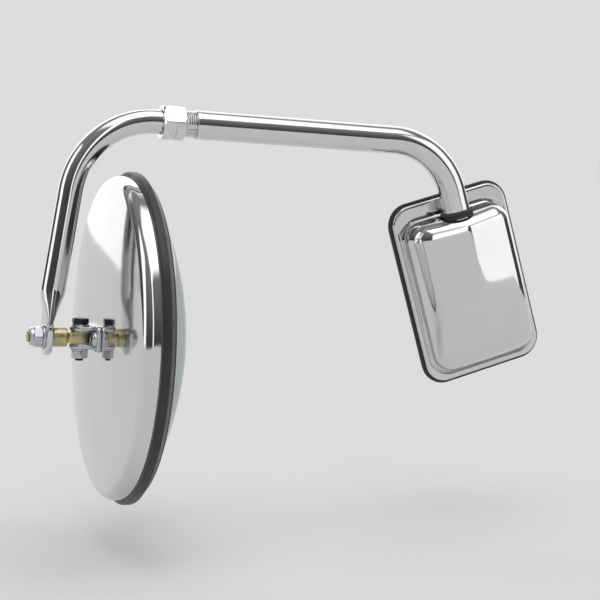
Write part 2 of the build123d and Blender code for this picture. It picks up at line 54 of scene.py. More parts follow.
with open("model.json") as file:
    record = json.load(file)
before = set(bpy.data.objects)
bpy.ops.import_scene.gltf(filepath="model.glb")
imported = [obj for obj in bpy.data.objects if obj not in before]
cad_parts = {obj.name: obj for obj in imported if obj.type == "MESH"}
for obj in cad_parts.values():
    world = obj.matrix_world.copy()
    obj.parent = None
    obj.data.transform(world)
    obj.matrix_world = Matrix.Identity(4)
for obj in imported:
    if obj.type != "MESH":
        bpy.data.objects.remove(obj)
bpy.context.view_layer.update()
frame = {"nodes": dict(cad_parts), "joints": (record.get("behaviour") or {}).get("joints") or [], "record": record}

MM = 0.001
TURN = 2 * math.pi
JOINTS = {joint["name"]: joint for joint in frame["joints"]}


# ---- settings

def length(name, description, millimetres):
    """A size in metres, given here in millimetres."""
    return FloatProperty(name=name, description=description, default=millimetres * MM, min=0.0, unit="LENGTH")


def colour(name, description, rgb):
    return FloatVectorProperty(name=name, description=description, default=rgb, size=3, min=0.0, max=1.0,
                               subtype="COLOR")


class PodSettings(PropertyGroup):
    width: length("Pod width", "Cover across its flange", 88)
    height: length("Pod height", "Cover from flange edge to flange edge", 127)
    corner: length("Flange corner", "Corner radius of the cover's flange", 14)
    flange_side: length("Side flange", "Flange beside the raised body", 5.5)
    flange_top: length("Top flange", "Flange above the raised body", 12.6)
    flange_bottom: length("Bottom flange", "Flange below the raised body", 7)
    wall: length("Cover wall", "Sheet thickness of the cover", 1.2)
    gasket: length("Gasket thickness", "Rubber sheet under the pod", 3)
    gasket_lip: length("Gasket lip", "How far the rubber shows round the flange", 2)
    plate: length("Base plate", "Thickness of the plate under the cover", 2)
    body_corner: length("Body corner", "Corner radius of the raised body", 13)
    roll: length("Roll", "Width over which the wall turns into the front", 12.5)
    fillet: length("Foot fillet", "Sweep from the flange into the wall", 2.2)
    fold: length("Flange fold", "Radius of the fold at the flange's edge", 1.6)
    groove: length("Groove", "Pressed groove along the foot of the body", 0.9)
    ridge: length("Ridge height", "Front ridge above the hood", 35.1)
    crown: length("Crown", "Fall of the front from its middle to its ends", 1.6)
    hip: length("Hip", "Extra fall of the front at its foot", 7.5)
    facet: FloatProperty(name="Facet slope", description="Slope of each facet from the ridge",
                         default=math.radians(13), subtype="ANGLE")
    stud: length("Stud radius", "Radius of the mounting studs", 3.175)
    stud_pitch: length("Stud pitch", "Thread pitch of the mounting studs", 1.27)
    stud_head: length("Stud head", "Radius of the studs' welded heads", 5.5)
    stud_head_height: length("Stud head height", "Height of the studs' welded heads", 2)
    seal_gap: length("Seal gap", "Clearance of the seal round the tube", 0.3)
    seal_neck: length("Seal neck", "Rubber of the seal inside the cover's hole", 1)
    seal_lip: length("Seal lip", "Reach of the seal's lip over the cover", 2.2)
    seal_lip_height: length("Seal lip height", "Height of each lip of the seal", 1.8)


class ArmSettings(PropertyGroup):
    outer: length("Outer tube radius", "Radius of the fixed tube", 9.525)
    inner: length("Inner tube radius", "Radius of the sliding tube", 7.94)
    wall: length("Tube wall", "Wall of both tubes", 1.5)
    outer_bend: length("Outer bend", "Centre line radius of the first bend", 48)
    inner_bend: length("Inner bend", "Centre line radius of the second bend", 54)
    leg_lean: FloatProperty(name="Leg lean", description="Lean of the lower leg", default=math.radians(10.7),
                            subtype="ANGLE")
    tab_width: length("Tab width", "Width of the flattened end", 24)
    tab_thickness: length("Tab thickness", "Thickness of the flattened end", 4)
    tab_rise: length("Tab rise", "Flat length above the swivel hole", 10)
    taper: length("Taper", "Length over which the tube flattens", 22)
    nut_across: length("Collar nut", "Size across the collar nut's flats", 22)
    nut_groove: length("Collar groove", "Depth of the groove round the collar nut", 0.5)
    neck_length: length("Neck length", "Threaded neck of the outer tube under the collar nut", 8)
    neck_pitch: length("Neck pitch", "Thread pitch of the outer tube's neck", 1.5)
    tail_start: length("Tail start", "First corner to the hidden end of the sliding tube", 102)


class HardwareSettings(PropertyGroup):
    post: length("Post radius", "Radius of the swivel post", 6.5)
    eye: length("Eye thickness", "Thickness of the post's eye", 7)
    eye_reach: length("Eye reach", "Pivot to the back of the post's eye", 9.6)
    neck: length("Neck", "Pivot to the front of the post's barrel", 9)
    stud: length("Swivel stud", "Radius of the post's stud", 4)
    stud_pitch: length("Swivel pitch", "Thread pitch of the post's stud", 1.25)
    swivel_across: length("Lock nut", "Size across the lock nut's flats", 13)
    swivel_flats: length("Lock nut flats", "Height of the lock nut's flats", 5.6)
    swivel_washer: length("Plain washer", "Radius of the plain washer", 8)
    spring_washer: length("Split washer", "Radius of the split washer", 7.5)
    swivel_hole: length("Washer hole", "Hole radius of the swivel's washers", 4.25)
    pivot: length("Pivot bolt", "Radius of the pivot bolt", 3)
    pivot_pitch: length("Pivot pitch", "Thread pitch of the pivot bolt", 1)
    pivot_across: length("Pivot hexagon", "Size across the pivot's bolt head and nut", 10)
    pivot_washer: length("Pivot washer", "Radius of the pivot's washers", 6)
    pivot_hole: length("Pivot washer hole", "Hole radius of the pivot's washers", 3.25)
    ear: length("Ear radius", "Radius of the clevis ears", 7)
    ear_in: length("Ear inside", "Pivot's middle to the inner face of an ear", 4.36)
    clevis: length("Clevis sheet", "Thickness of the clevis", 3)
    base_width: length("Clevis base width", "Half width of the clevis base", 18)
    base_height: length("Clevis base height", "Half height of the clevis base", 8.5)
    screw: length("Screw radius", "Radius of the clevis screws", 2.5)
    screw_pitch: length("Screw pitch", "Thread pitch of the clevis screws", 0.8)
    screw_place: length("Screw place", "Middle of the clevis to each screw", 12.5)
    screw_head: length("Screw head", "Radius of the button heads", 4.4)
    screw_head_height: length("Screw head height", "Height of the button heads", 2.6)
    socket: length("Screw socket", "Half the size of the button heads' sockets across their flats", 1.5)


class HeadSettings(PropertyGroup):
    shell: length("Shell radius", "Outer radius of the dished shell", 106)
    dome: length("Dome radius", "Radius of the shell's shallow dome", 560)
    boss: length("Boss radius", "Flat seat in the middle of the shell", 20)
    corner: length("Shell corner", "Radius where the dome turns into the band", 7)
    band: length("Band", "Straight rim of the shell", 6.5)
    wall: length("Shell wall", "Sheet thickness of the shell", 0.8)
    glass_curve: length("Glass curve", "Radius of the convex glass", 195)
    glass: length("Glass thickness", "Thickness of the glass", 2.5)
    rim: length("Rim wall", "Rubber outside the shell", 3)
    lip: length("Rim lip", "Rubber over the edge of the glass", 4)
    lip_rise: length("Lip rise", "Rubber standing over the glass at its lip", 1.6)
    rim_fall: length("Rim fall", "How far the rubber's front falls to its outer edge", 5)
    skirt: length("Rim skirt", "Rubber over the shell's band", 2.5)
    web: length("Rim web", "Rubber between the shell and the glass", 1)
    ledge: length("Rim ledge", "Rubber under the edge of the glass", 2)


class FinishSettings(PropertyGroup):
    stainless: colour("Stainless", "Polished stainless steel", (0.68, 0.68, 0.69))
    zinc: colour("Bright zinc", "Clear zinc plating", (0.56, 0.58, 0.61))
    yellow: colour("Yellow zinc", "Yellow passivated zinc plating", (0.50, 0.43, 0.24))
    rubber: colour("Rubber", "Moulded black rubber", (0.018, 0.018, 0.019))
    floor: colour("Floor", "Studio floor and backdrop", (0.655, 0.655, 0.655))


def settings():
    return bpy.context.scene.towing_mirror


class TowingMirrorSettings(PropertyGroup):
    pod: PointerProperty(type=PodSettings)
    arm: PointerProperty(type=ArmSettings)
    hardware: PointerProperty(type=HardwareSettings)
    head: PointerProperty(type=HeadSettings)
    finish: PointerProperty(type=FinishSettings)


# ---- places

class Place:
    """A right-handed set of axes: local points are carried to the row frame."""

    def __init__(self, origin, z, x):
        self.origin = np.array(origin, float)
        self.z = np.array(z, float) / np.linalg.norm(z)
        x = np.array(x, float) - np.dot(x, self.z) * self.z
        self.x = x / np.linalg.norm(x)
        self.y = np.cross(self.z, self.x)

    def carry(self, points):
        points = np.asarray(points, float)
        return self.origin + points[..., :1] * self.x + points[..., 1:2] * self.y + points[..., 2:3] * self.z

    def shifted(self, x=0.0, y=0.0, z=0.0):
        return Place(self.carry([x, y, z]), self.z, self.x)


def joint_place(name, x):
    joint = JOINTS[name]
    return Place(joint["pos_m"], joint["axis"], x)


SOCKET = joint_place("arm_swivel", (1, 0, 0))
POD = Place((0, 0, 0), (0, -1, 0), SOCKET.x)
HEAD = joint_place("head_swivel", (0, 1, 0))
PIVOT = joint_place("head_pan", (0, 1, 0))


def crossing(p, d, q, e):
    """Where the line through p along d meets the line through q along e, both in the arm's plane."""
    side = np.array(q) - np.array(p)
    share = (side[0] * e[2] - side[2] * e[0]) / (d[0] * e[2] - d[2] * e[0])
    return np.array(p) + share * np.array(d)


RUN_DIR = np.array(JOINTS["arm_roll"]["axis"])
CORNER_1 = crossing(SOCKET.origin, SOCKET.z, JOINTS["arm_roll"]["pos_m"], RUN_DIR)
RUN = Place(CORNER_1, RUN_DIR, (0, 1, 0))
PIVOT_REACH = float((PIVOT.origin - HEAD.origin) @ HEAD.z)


def reach_in(node, place, axis):
    """Lowest and highest local coordinate of a node along one axis of a place."""
    mesh = frame["nodes"][node].data
    points = np.empty(len(mesh.vertices) * 3)
    mesh.vertices.foreach_get("co", points)
    reach = (points.reshape(-1, 3) - place.origin) @ getattr(place, axis)
    return reach.min(), reach.max()


def along_run(node):
    """Distances from the first corner, along the run, of a node's two ends."""
    return reach_in(node, RUN, "z")


# ---- shapes

def round_angles(count):
    """Angles of one turn, evenly spaced."""
    return np.arange(count) * TURN / count


def polar(radius, angle, height):
    """Points at a radius and a height for each angle."""
    return np.stack([radius * np.cos(angle), radius * np.sin(angle), height + 0 * angle], -1)


def level(curve, height):
    """A flat curve lifted to a height, or to a height for each of its points."""
    return np.column_stack([curve, np.broadcast_to(height, len(curve))])


def superellipse(angle, wide, high, power):
    """The two coordinates of a closed curve of half width wide and half height high. Each is a power of the
    angle's cosine or sine that keeps its sign: a power of 2 is an ellipse, and a higher one is squarer."""
    across, along = np.cos(angle), np.sin(angle)
    return (wide * np.sign(across) * np.abs(across) ** (2 / power),
            high * np.sign(along) * np.abs(along) ** (2 / power))


def two_halves(wide, upper, lower, upper_power, lower_power, count=96):
    """Closed curve of half width wide, whose upper and lower halves have a height and a power each."""
    angle = round_angles(count)
    over = np.sin(angle) > 0
    high, power = np.where(over, upper, lower), np.where(over, upper_power, lower_power)
    return np.stack(superellipse(angle, wide, high, power), 1)


def grid_quads(index, wrap_u, wrap_v):
    """Faces between neighbours in a grid of vertex numbers. Its rows and its columns may wrap round."""
    rows = index if wrap_u else index[:-1]
    below = np.roll(index, -1, 0) if wrap_u else index[1:]
    quads = np.stack([rows, np.roll(rows, -1, 1), np.roll(below, -1, 1), below], -1)
    return (quads if wrap_v else quads[:, :-1]).reshape(-1, 4)


def add_object(name, data):
    made = bpy.data.objects.new(name, data)
    bpy.context.scene.collection.objects.link(made)
    return made


def make(name, blocks, body, slot, nodes=(), sharp=40.0):
    """One object from grids of points in the row frame. A block is (points[u, v, 3], wrap_u, wrap_v, grain),
    where grain[u, v, 3] is a pattern coordinate that follows the surface, or None."""
    verts, quads, grains = [], [], []
    start = 0
    for points, wrap_u, wrap_v, grain in blocks:
        count = points.shape[0] * points.shape[1]
        quads.append(grid_quads(start + np.arange(count).reshape(points.shape[:2]), wrap_u, wrap_v))
        verts.append(points.reshape(-1, 3))
        grains.append((points if grain is None else grain).reshape(-1, 3))
        start += count
    mesh = bpy.data.meshes.new(name)
    mesh.from_pydata(np.concatenate(verts).tolist(), [], np.concatenate(quads).tolist())
    pattern = mesh.attributes.new("grain", "FLOAT_VECTOR", "POINT")
    pattern.data.foreach_set("vector", np.concatenate(grains).astype(np.float32).ravel())
    shape = bmesh.new()
    shape.from_mesh(mesh)
    bmesh.ops.remove_doubles(shape, verts=shape.verts, dist=2e-6)
    bmesh.ops.dissolve_degenerate(shape, edges=shape.edges, dist=1e-7)
    bmesh.ops.recalc_face_normals(shape, faces=shape.faces)
    shape.to_mesh(mesh)
    shape.free()
    mesh.shade_smooth()
    mesh.set_sharp_from_angle(angle=math.radians(sharp))
    mesh.materials.append(Finishes.get(slot))
    piece = add_object(name, mesh)
    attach(piece, body)
    if nodes:
        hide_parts(*nodes)
    return piece


def soften(corners, radii, closed=True, steps=5):
    """Outline through the corners, each turned by an arc of its own radius that is tangent to both sides."""
    corners = np.asarray(corners, float)
    count = len(corners)
    radii = np.broadcast_to(radii, count)
    out = []
    for i in range(count):
        here = corners[i]
        if radii[i] <= 0 or (not closed and i in (0, count - 1)):
            out.append(here[None])
            continue
        back = corners[i - 1] - here
        ahead = corners[(i + 1) % count] - here
        room = 0.49 * min(np.linalg.norm(back), np.linalg.norm(ahead))
        back, ahead = back / np.linalg.norm(back), ahead / np.linalg.norm(ahead)
        half = math.acos(np.clip(back @ ahead, -1, 1)) / 2
        trim = min(radii[i] / math.tan(half), room)
        share = np.linspace(0, 1, steps + 1)[:, None]
        first, last = here + back * trim, here + ahead * trim
        centre = here + (back + ahead) / np.linalg.norm(back + ahead) * trim / math.cos(half)
        swing = math.pi - 2 * half
        blend = (np.sin((1 - share) * swing) * (first - centre) + np.sin(share * swing) * (last - centre))
        out.append(centre + blend / math.sin(swing))
    return np.concatenate(out)


def lathe(place, outline, sides=96, wrap=True):
    """Turned surface: each outline point (radius, height) swept round the place's z axis."""
    outline = np.asarray(outline, float)
    angle = round_angles(sides)
    radius, height = outline[:, :1], outline[:, 1:]
    grain = polar(np.ones_like(radius), angle, np.hypot(radius, height) / MM)
    return place.carry(polar(radius, angle, height)), wrap, True, grain


# an apothem or a circle too large to cut the surface
FAR = 1.0

# a hexagon's corner radius over its apothem
CORNER_SHARE = 1.155


def hex_reach(angle, sharpness=70.0):
    """Distance from the centre of a hexagon of unit apothem to its edge, with a corner at angle zero. The
    corners are slightly rounded: it is the reciprocal of the power sum of the six sides' cosines."""
    sides = np.maximum(np.cos(angle[..., None] - (np.arange(6) + 0.5) * TURN / 6), 0)
    return 1 / np.sum(sides ** sharpness, -1) ** (1 / sharpness)


def hexed(place, stations, sides=120, wrap=True):
    """Surface round the z axis whose reach is the smaller of a hexagon and a circle. Stations are (height,
    apothem, circle radius)."""
    stations = np.asarray(stations, float)
    angle = round_angles(sides)
    hexagon = stations[:, 1:2] * hex_reach(angle)[None]
    radius = np.minimum(hexagon, stations[:, 2:3])
    return place.carry(polar(radius, angle, stations[:, :1])), wrap, True, None


def nut_stations(across, low, high, bore, chamfer):
    """Nut with both faces turned down at 30 degrees, so the flats end in arcs."""
    apothem = across / 2
    corner = apothem * CORNER_SHARE
    drop = (corner - apothem) * math.tan(math.radians(30)) + chamfer
    outer = np.linspace(0, 1, 9)[:, None]
    rise = np.concatenate([low + drop * outer, high - drop * outer[::-1]])
    circle = np.concatenate([apothem * 0.97 + (corner - apothem * 0.97) * outer,
                             corner - (corner - apothem * 0.97) * outer])
    side = np.concatenate([rise, np.full_like(rise, apothem), circle], 1)
    lead = 0.35 * MM
    inner = [(high, FAR, bore + lead), (high - lead, FAR, bore),
             (low + lead, FAR, bore), (low, FAR, bore + lead)]
    return np.concatenate([side, inner])


def bolt_head_stations(across, low, high):
    """Hexagon head: chamfered top, washer face below, closed on the axis."""
    apothem = across / 2
    corner = apothem * CORNER_SHARE
    drop = (corner - apothem) * math.tan(math.radians(30)) + 0.2 * MM
    share = np.linspace(0, 1, 9)[:, None]
    rise = high - drop * share[::-1]
    circle = corner - (corner - apothem * 0.96) * share
    side = np.concatenate([rise, np.full_like(rise, apothem), circle], 1)
    under = [(low, FAR, 0.0), (low, FAR, apothem * 0.95), (low + 0.35 * MM, FAR, apothem * 0.95),
             (low + 0.4 * MM, apothem, corner)]
    top = [(high, FAR, apothem * 0.7), (high - 0.15 * MM, FAR, apothem * 0.66), (high - 0.15 * MM, FAR, 0.0)]
    return np.concatenate([under, side, top])


def thread(place, radius, pitch, low, high, depth=None, bore=0.0, sides=48, per_turn=8):
    """Screw thread: the radius falls in a rounded vee that climbs one pitch per turn and fades out at both
    ends. The surface closes on the axis, or on a bore."""
    depth = 0.54 * pitch if depth is None else depth
    rows = int((high - low) / pitch * per_turn) + 1
    height = np.linspace(low, high, rows)[:, None]
    angle = round_angles(sides)[None]
    phase = (height / pitch - angle / TURN) % 1.0
    vee = (1 - np.abs(2 * phase - 1)) ** 1.2
    fade = np.clip(np.minimum(height - low, high - height) / (0.8 * pitch), 0, 1)
    reach = radius - depth * (1 - vee) * (0.35 + 0.65 * fade) - depth * 0.5 * (1 - fade)
    reach = np.concatenate([np.full((1, sides), bore), reach, np.full((1, sides), bore)])
    height = np.concatenate([height[:1], height, height[-1:]])
    return place.carry(polar(reach, angle, height)), bore > 0, True, None


def frame_curve(half_w, half_h, corner, middle=0.0, per_side=40, per_corner=15):
    """Closed rounded rectangle with the same count of points whatever its size, anticlockwise."""
    corner = min(corner, half_w, half_h)
    arc = np.linspace(0, math.pi / 2, per_corner)
    out = []
    for quarter, (sx, sy) in enumerate(((1, 1), (-1, 1), (-1, -1), (1, -1))):
        angle = arc + quarter * math.pi / 2
        centre = np.array([sx * (half_w - corner), sy * (half_h - corner)])
        out.append(centre + corner * np.stack([np.cos(angle), np.sin(angle)], 1))
        nx, ny = ((-1, 1), (-1, -1), (1, -1), (1, 1))[quarter]
        ahead = np.array([nx * (half_w - corner), ny * (half_h - corner)])
        turn = arc[-1] + quarter * math.pi / 2
        goal = ahead + corner * np.array([math.cos(turn), math.sin(turn)])
        share = np.linspace(0, 1, per_side + 2)[1:-1, None]
        out.append(out[-1][-1] * (1 - share) + goal * share)
    return np.concatenate(out) + np.array([0, middle])


def plate(place, outer, inner, low, high, bevel):
    """Flat plate between two matched closed curves, its outer edges rounded by the bevel."""
    ahead = np.roll(outer, -1, 0) - np.roll(outer, 1, 0)
    normal = np.stack([ahead[:, 1], -ahead[:, 0]], 1)
    normal /= np.maximum(np.linalg.norm(normal, axis=1, keepdims=True), 1e-9)
    edge = [(outer - normal * bevel * (1 - math.sin(angle)), bevel * (1 - math.cos(angle)))
            for angle in np.linspace(0, math.pi / 2, 4)]
    rows = [(inner, low)] + [(curve, low + rise) for curve, rise in edge]
    rows += [(curve, high - rise) for curve, rise in edge[::-1]] + [(inner, high)]
    points = np.stack([level(curve, height) for curve, height in rows])
    return place.carry(points), True, True, None


def ring_curve(radius, count=96):
    return polar(radius, round_angles(count), 0)[:, :2]


def rod(radius, low, high, low_edge, high_edge):
    """Outline of a solid round bar, each end's edge rounded by its own radius."""
    return soften([(0, low), (radius, low), (radius, high), (0, high)], [0, low_edge, high_edge, 0], False)


def washer(place, outer, inner, low, high, bevel=0.25 * MM):
    outline = soften([(inner, low), (outer, low), (outer, high), (inner, high)], bevel, steps=3)
    return lathe(place, outline, 72)


class Route:
    """Centre line in the arm's plane: straight, one arc of a given radius at the corner, straight."""

    def __init__(self, start, corner, end, radius):
        start, corner, end = (np.array(p, float) for p in (start, corner, end))
        self.start = start
        self.first = (corner - start) / np.linalg.norm(corner - start)
        self.last = (end - corner) / np.linalg.norm(end - corner)
        self.turn = math.acos(np.clip(self.first @ self.last, -1, 1))
        trim = radius * math.tan(self.turn / 2)
        self.before = np.linalg.norm(corner - start) - trim
        self.arc = radius * self.turn
        self.radius = radius
        self.length = self.before + self.arc + np.linalg.norm(end - corner) - trim
        inward = self.last - (self.last @ self.first) * self.first
        self.inward = inward / np.linalg.norm(inward)
        self.exit = corner + self.last * trim

    def at(self, distance):
        """Centre points and tangents at distances from the start."""
        distance = np.asarray(distance, float)[:, None]
        angle = np.clip((distance - self.before) / self.radius, 0, self.turn)
        straight = self.start + self.first * np.minimum(distance, self.before)
        bend = self.radius * (self.first * np.sin(angle) + self.inward * (1 - np.cos(angle)))
        tail = np.maximum(distance - self.before - self.arc, 0)
        tangent = self.first * np.cos(angle) + self.inward * np.sin(angle)
        return straight + bend + self.last * tail, tangent


def pipe(route, stations, sides=72):
    """Surface round a route. Stations are (distance, reach across the plane, reach in the plane, power): each
    cross-section is a superellipse of that power."""
    stations = np.asarray(stations, float)
    centre, tangent = route.at(stations[:, 0])
    across = np.array([0.0, 1.0, 0.0])
    inplane = np.cross(tangent, across)
    angle = round_angles(sides)
    wide, high = superellipse(angle, stations[:, 1:2], stations[:, 2:3], stations[:, 3:4])
    points = centre[:, None] + wide[..., None] * across + high[..., None] * inplane[:, None]
    return points, True, True, polar(np.ones_like(stations[:, :1]), angle, stations[:, :1] / MM)


def pipe_stations(start, end, outer, inner, step):
    """Closed wall of a round tube: out along the outside, back along the bore, with rounded lips."""
    wall = outer - inner
    swing = np.linspace(-math.pi / 2, math.pi / 2, 7)
    middle = (outer + inner) / 2
    lip_far = np.stack([end - wall / 2 + wall / 2 * np.cos(swing), middle - wall / 2 * np.sin(swing)], 1)
    lip_near = np.stack([start + wall / 2 - wall / 2 * np.cos(swing), middle + wall / 2 * np.sin(swing)], 1)
    count = max(int((end - start) / step), 2)
    run = np.linspace(start + wall / 2, end - wall / 2, count)[1:-1]
    out = np.stack([run, np.full_like(run, outer)], 1)
    back = np.stack([run[::-1], np.full_like(run, inner)], 1)
    rows = np.concatenate([lip_near, out, lip_far, back])
    return np.stack([rows[:, 0], rows[:, 1], rows[:, 1], np.full(len(rows), 2.0)], 1)


# ---- finishes

def tinted(rgb, factor):
    return tuple(min(channel * factor, 1.0) for channel in rgb)


def add_node(tree, kind, links=(), **values):
    """A shader node of a kind, each of its inputs in links fed by another node's output or set to a value."""
    made = tree.nodes.new("ShaderNode" + kind)
    for key, value in values.items():
        setattr(made, key, value)
    for socket, source in links:
        if hasattr(source, "node"):
            tree.links.new(source, made.inputs[socket])
        else:
            made.inputs[socket].default_value = source
    return made


class Shader:
    """Short calls for building one procedural material."""

    def __init__(self, name):
        self.material = bpy.data.materials.get(name) or bpy.data.materials.new(name)
        self.material.use_nodes = True
        self.tree = self.material.node_tree
        self.tree.nodes.clear()
        self.surface = self.tree.nodes.new("ShaderNodeBsdfPrincipled")
        output = self.tree.nodes.new("ShaderNodeOutputMaterial")
        self.tree.links.new(self.surface.outputs[0], output.inputs[0])

    def set(self, **values):
        for key, value in values.items():
            socket = self.surface.inputs[key.replace("_", " ").title().replace("Ior", "IOR")]
            socket.default_value = (*value, 1.0) if isinstance(value, tuple) and len(value) == 3 else value

    def feed(self, name, output):
        self.tree.links.new(output, self.surface.inputs[name])

    def node(self, kind, links=(), **values):
        return add_node(self.tree, kind, links, **values)

    def coordinates(self, stretch=(1.0, 1.0, 1.0), attribute=None):
        """Object coordinates, or an attribute of the piece, scaled on each axis."""
        if attribute:
            source = self.node("Attribute", attribute_name=attribute).outputs["Vector"]
        else:
            source = self.node("TexCoord").outputs["Object"]
        return self.node("Mapping", [("Vector", source), ("Scale", stretch)]).outputs[0]

    def noise(self, vector, scale, detail=3.0, rough=0.5, distort=0.0):
        links = [("Vector", vector), ("Scale", scale), ("Detail", detail), ("Roughness", rough),
                 ("Distortion", distort)]
        return self.node("TexNoise", links).outputs[0]

    def spread(self, value, low, high, start=0.3, end=0.7):
        """Maps a pattern's range start..end onto low..high."""
        links = [("Value", value), ("From Min", start), ("From Max", end), ("To Min", low), ("To Max", high)]
        return self.node("MapRange", links).outputs[0]

    def ramp(self, value, stops):
        made = self.node("ValToRGB", [("Fac", value)])
        while len(made.color_ramp.elements) < len(stops):
            made.color_ramp.elements.new(0.5)
        for element, (position, rgb) in zip(made.color_ramp.elements, stops):
            element.position = position
            element.color = (*rgb, 1.0)
        return made.outputs[0]

    def bump(self, height, strength, distance, under=None):
        links = [("Height", height), ("Strength", strength), ("Distance", distance)]
        if under is not None:
            links.append(("Normal", under))
        return self.node("Bump", links).outputs[0]

    def tone(self, pattern, rgb, low, high, start=0.3, end=0.7):
        """Base colour that drifts from low to high times a colour, as the pattern goes from start to end."""
        stops = [(start, tinted(rgb, low)), (end, tinted(rgb, high))]
        self.feed("Base Color", self.ramp(pattern, stops))

    def roughen(self, pattern, low, high, start=0.3, end=0.7):
        self.feed("Roughness", self.spread(pattern, low, high, start, end))

    def relief(self, height, strength, distance, under=None):
        self.feed("Normal", self.bump(height, strength, distance, under))


def polished_sheet(name, rgb):
    """Pressed and polished stainless: near mirror, with a slight press ripple, buffing haze and hairlines."""
    shader = Shader(name)
    place = shader.coordinates()
    haze = shader.noise(place, 45.0, 4.0, 0.6)
    smudge = shader.noise(place, 14.0, 2.0, 0.5, 0.4)
    hairs = shader.noise(shader.coordinates((60.0, 60.0, 900.0)), 4.0, 2.0)
    ripple = shader.noise(place, 22.0, 1.0)
    shader.set(metallic=1.0, anisotropic=0.15)
    shader.tone(smudge, rgb, 0.95, 1.04, 0.25, 0.75)
    parts = [(0, shader.spread(haze, 0.045, 0.085)), (1, shader.spread(hairs, 0.0, 0.03))]
    shader.feed("Roughness", shader.node("Math", parts, operation="ADD").outputs[0])
    shader.relief(hairs, 0.03, 0.00002, shader.bump(ripple, 0.12, 0.0006))
    return shader.material


def polished_tube(name, rgb):
    """Polished tube: fine draw lines run along its length, carried by the grain attribute."""
    shader = Shader(name)
    lines = shader.noise(shader.coordinates((26.0, 26.0, 0.012), "grain"), 3.0, 3.0, 0.6)
    cloud = shader.noise(shader.coordinates((1.0, 1.0, 0.05), "grain"), 1.2, 2.0)
    shader.set(metallic=1.0, anisotropic=0.35)
    shader.tone(cloud, rgb, 0.95, 1.03)
    shader.roughen(lines, 0.05, 0.13)
    shader.relief(lines, 0.02, 0.00001)
    return shader.material


def plated(name, rgb, rough=0.16):
    """Bright plating on small hardware: cloudy colour and roughness, and fine tool marks."""
    shader = Shader(name)
    place = shader.coordinates()
    cloud = shader.noise(place, 160.0, 3.0, 0.6)
    marks = shader.noise(shader.coordinates((1.0, 1.0, 9.0)), 700.0, 2.0)
    shader.set(metallic=1.0)
    shader.tone(cloud, rgb, 0.90, 1.08)
    shader.roughen(cloud, rough, rough + 0.10)
    shader.relief(marks, 0.06, 0.00003)
    return shader.material


def yellow_plated(name, rgb):
    """Yellow passivated zinc: gold drifting to olive and rose, satin rather than bright."""
    shader = Shader(name)
    place = shader.coordinates()
    drift = shader.noise(place, 120.0, 3.0, 0.55, 0.8)
    grain = shader.noise(place, 1500.0, 2.0)
    olive = (rgb[0] * 0.72, rgb[1] * 0.92, rgb[2] * 0.72)
    rose = (rgb[0] * 1.12, rgb[1] * 0.80, rgb[2] * 1.05)
    stops = [(0.30, olive), (0.45, rgb), (0.58, tinted(rgb, 1.25)), (0.72, rose)]
    shader.set(metallic=1.0)
    shader.feed("Base Color", shader.ramp(drift, stops))
    shader.roughen(drift, 0.22, 0.36)
    shader.relief(grain, 0.08, 0.00003)
    return shader.material


def moulded_rubber(name, rgb, rough=0.48):
    """Black rubber: fine mould grain with a faint grey bloom that breaks up the sheen."""
    shader = Shader(name)
    place = shader.coordinates()
    bloom = shader.noise(place, 38.0, 4.0, 0.65)
    grain = shader.noise(place, 2600.0, 2.0)
    shader.set(metallic=0.0, sheen_weight=0.05, sheen_roughness=0.5)
    shader.tone(bloom, rgb, 0.8, 1.9, 0.35, 0.75)
    shader.roughen(bloom, rough - 0.1, rough + 0.12)
    shader.relief(grain, 0.16, 0.00005)
    return shader.material


def coated_casting(name, rgb):
    """Black coated casting: orange-peel coat over a sand-cast grain."""
    shader = Shader(name)
    place = shader.coordinates()
    peel = shader.noise(place, 420.0, 3.0, 0.6)
    shader.set(metallic=0.0, coat_weight=0.3, coat_roughness=0.25)
    shader.tone(peel, rgb, 0.8, 1.4)
    shader.roughen(peel, 0.38, 0.55)
    shader.relief(peel, 0.3, 0.0002)
    return shader.material


def milled_plate(name, rgb):
    """Mill-finish steel with long rolling streaks."""
    shader = Shader(name)
    streak = shader.noise(shader.coordinates((20.0, 20.0, 600.0)), 2.0, 3.0)
    shader.set(metallic=1.0)
    shader.tone(streak, rgb, 0.8, 1.1)
    shader.roughen(streak, 0.28, 0.42)
    shader.relief(streak, 0.1, 0.00005)
    return shader.material


def moulded_nylon(name, rgb):
    """Natural nylon: waxy, slightly translucent, with faint flow marks."""
    shader = Shader(name)
    flow = shader.noise(shader.coordinates((1.0, 1.0, 3.0)), 180.0, 2.0)
    shader.set(metallic=0.0, subsurface_weight=0.15)
    shader.tone(flow, rgb, 0.92, 1.05)
    shader.roughen(flow, 0.35, 0.48)
    return shader.material


def silvered_glass(name):
    """Convex mirror: silver seen through glass, a greenish edge that also carries painted shade of the rubber lip,
    a trace of dust and a thin gloss on top.
    """
    shader = Shader(name)
    edge = shader.node("Attribute", attribute_name="grain").outputs["Vector"]
    reach = shader.node("SeparateXYZ", [("Vector", edge)]).outputs["Z"]
    # painted shade: the outer edge of the glass turns darker as well as greener; the rubber lip's shadow is
    # painted into the colour along with the glass's own green edge
    rim = shader.spread(reach, 0.0, 1.0, 0.965, 1.0)
    dust = shader.noise(shader.coordinates(), 60.0, 5.0, 0.7)
    shader.set(metallic=1.0, specular_tint=(0.36, 0.41, 0.43, 1.0))
    shader.set(coat_weight=0.2, coat_roughness=0.01, coat_ior=1.3)
    shader.feed("Base Color", shader.ramp(rim, [(0.0, (0.86, 0.88, 0.88)), (1.0, (0.40, 0.52, 0.48))]))
    shader.roughen(dust, 0.012, 0.035, 0.4, 0.8)
    return shader.material


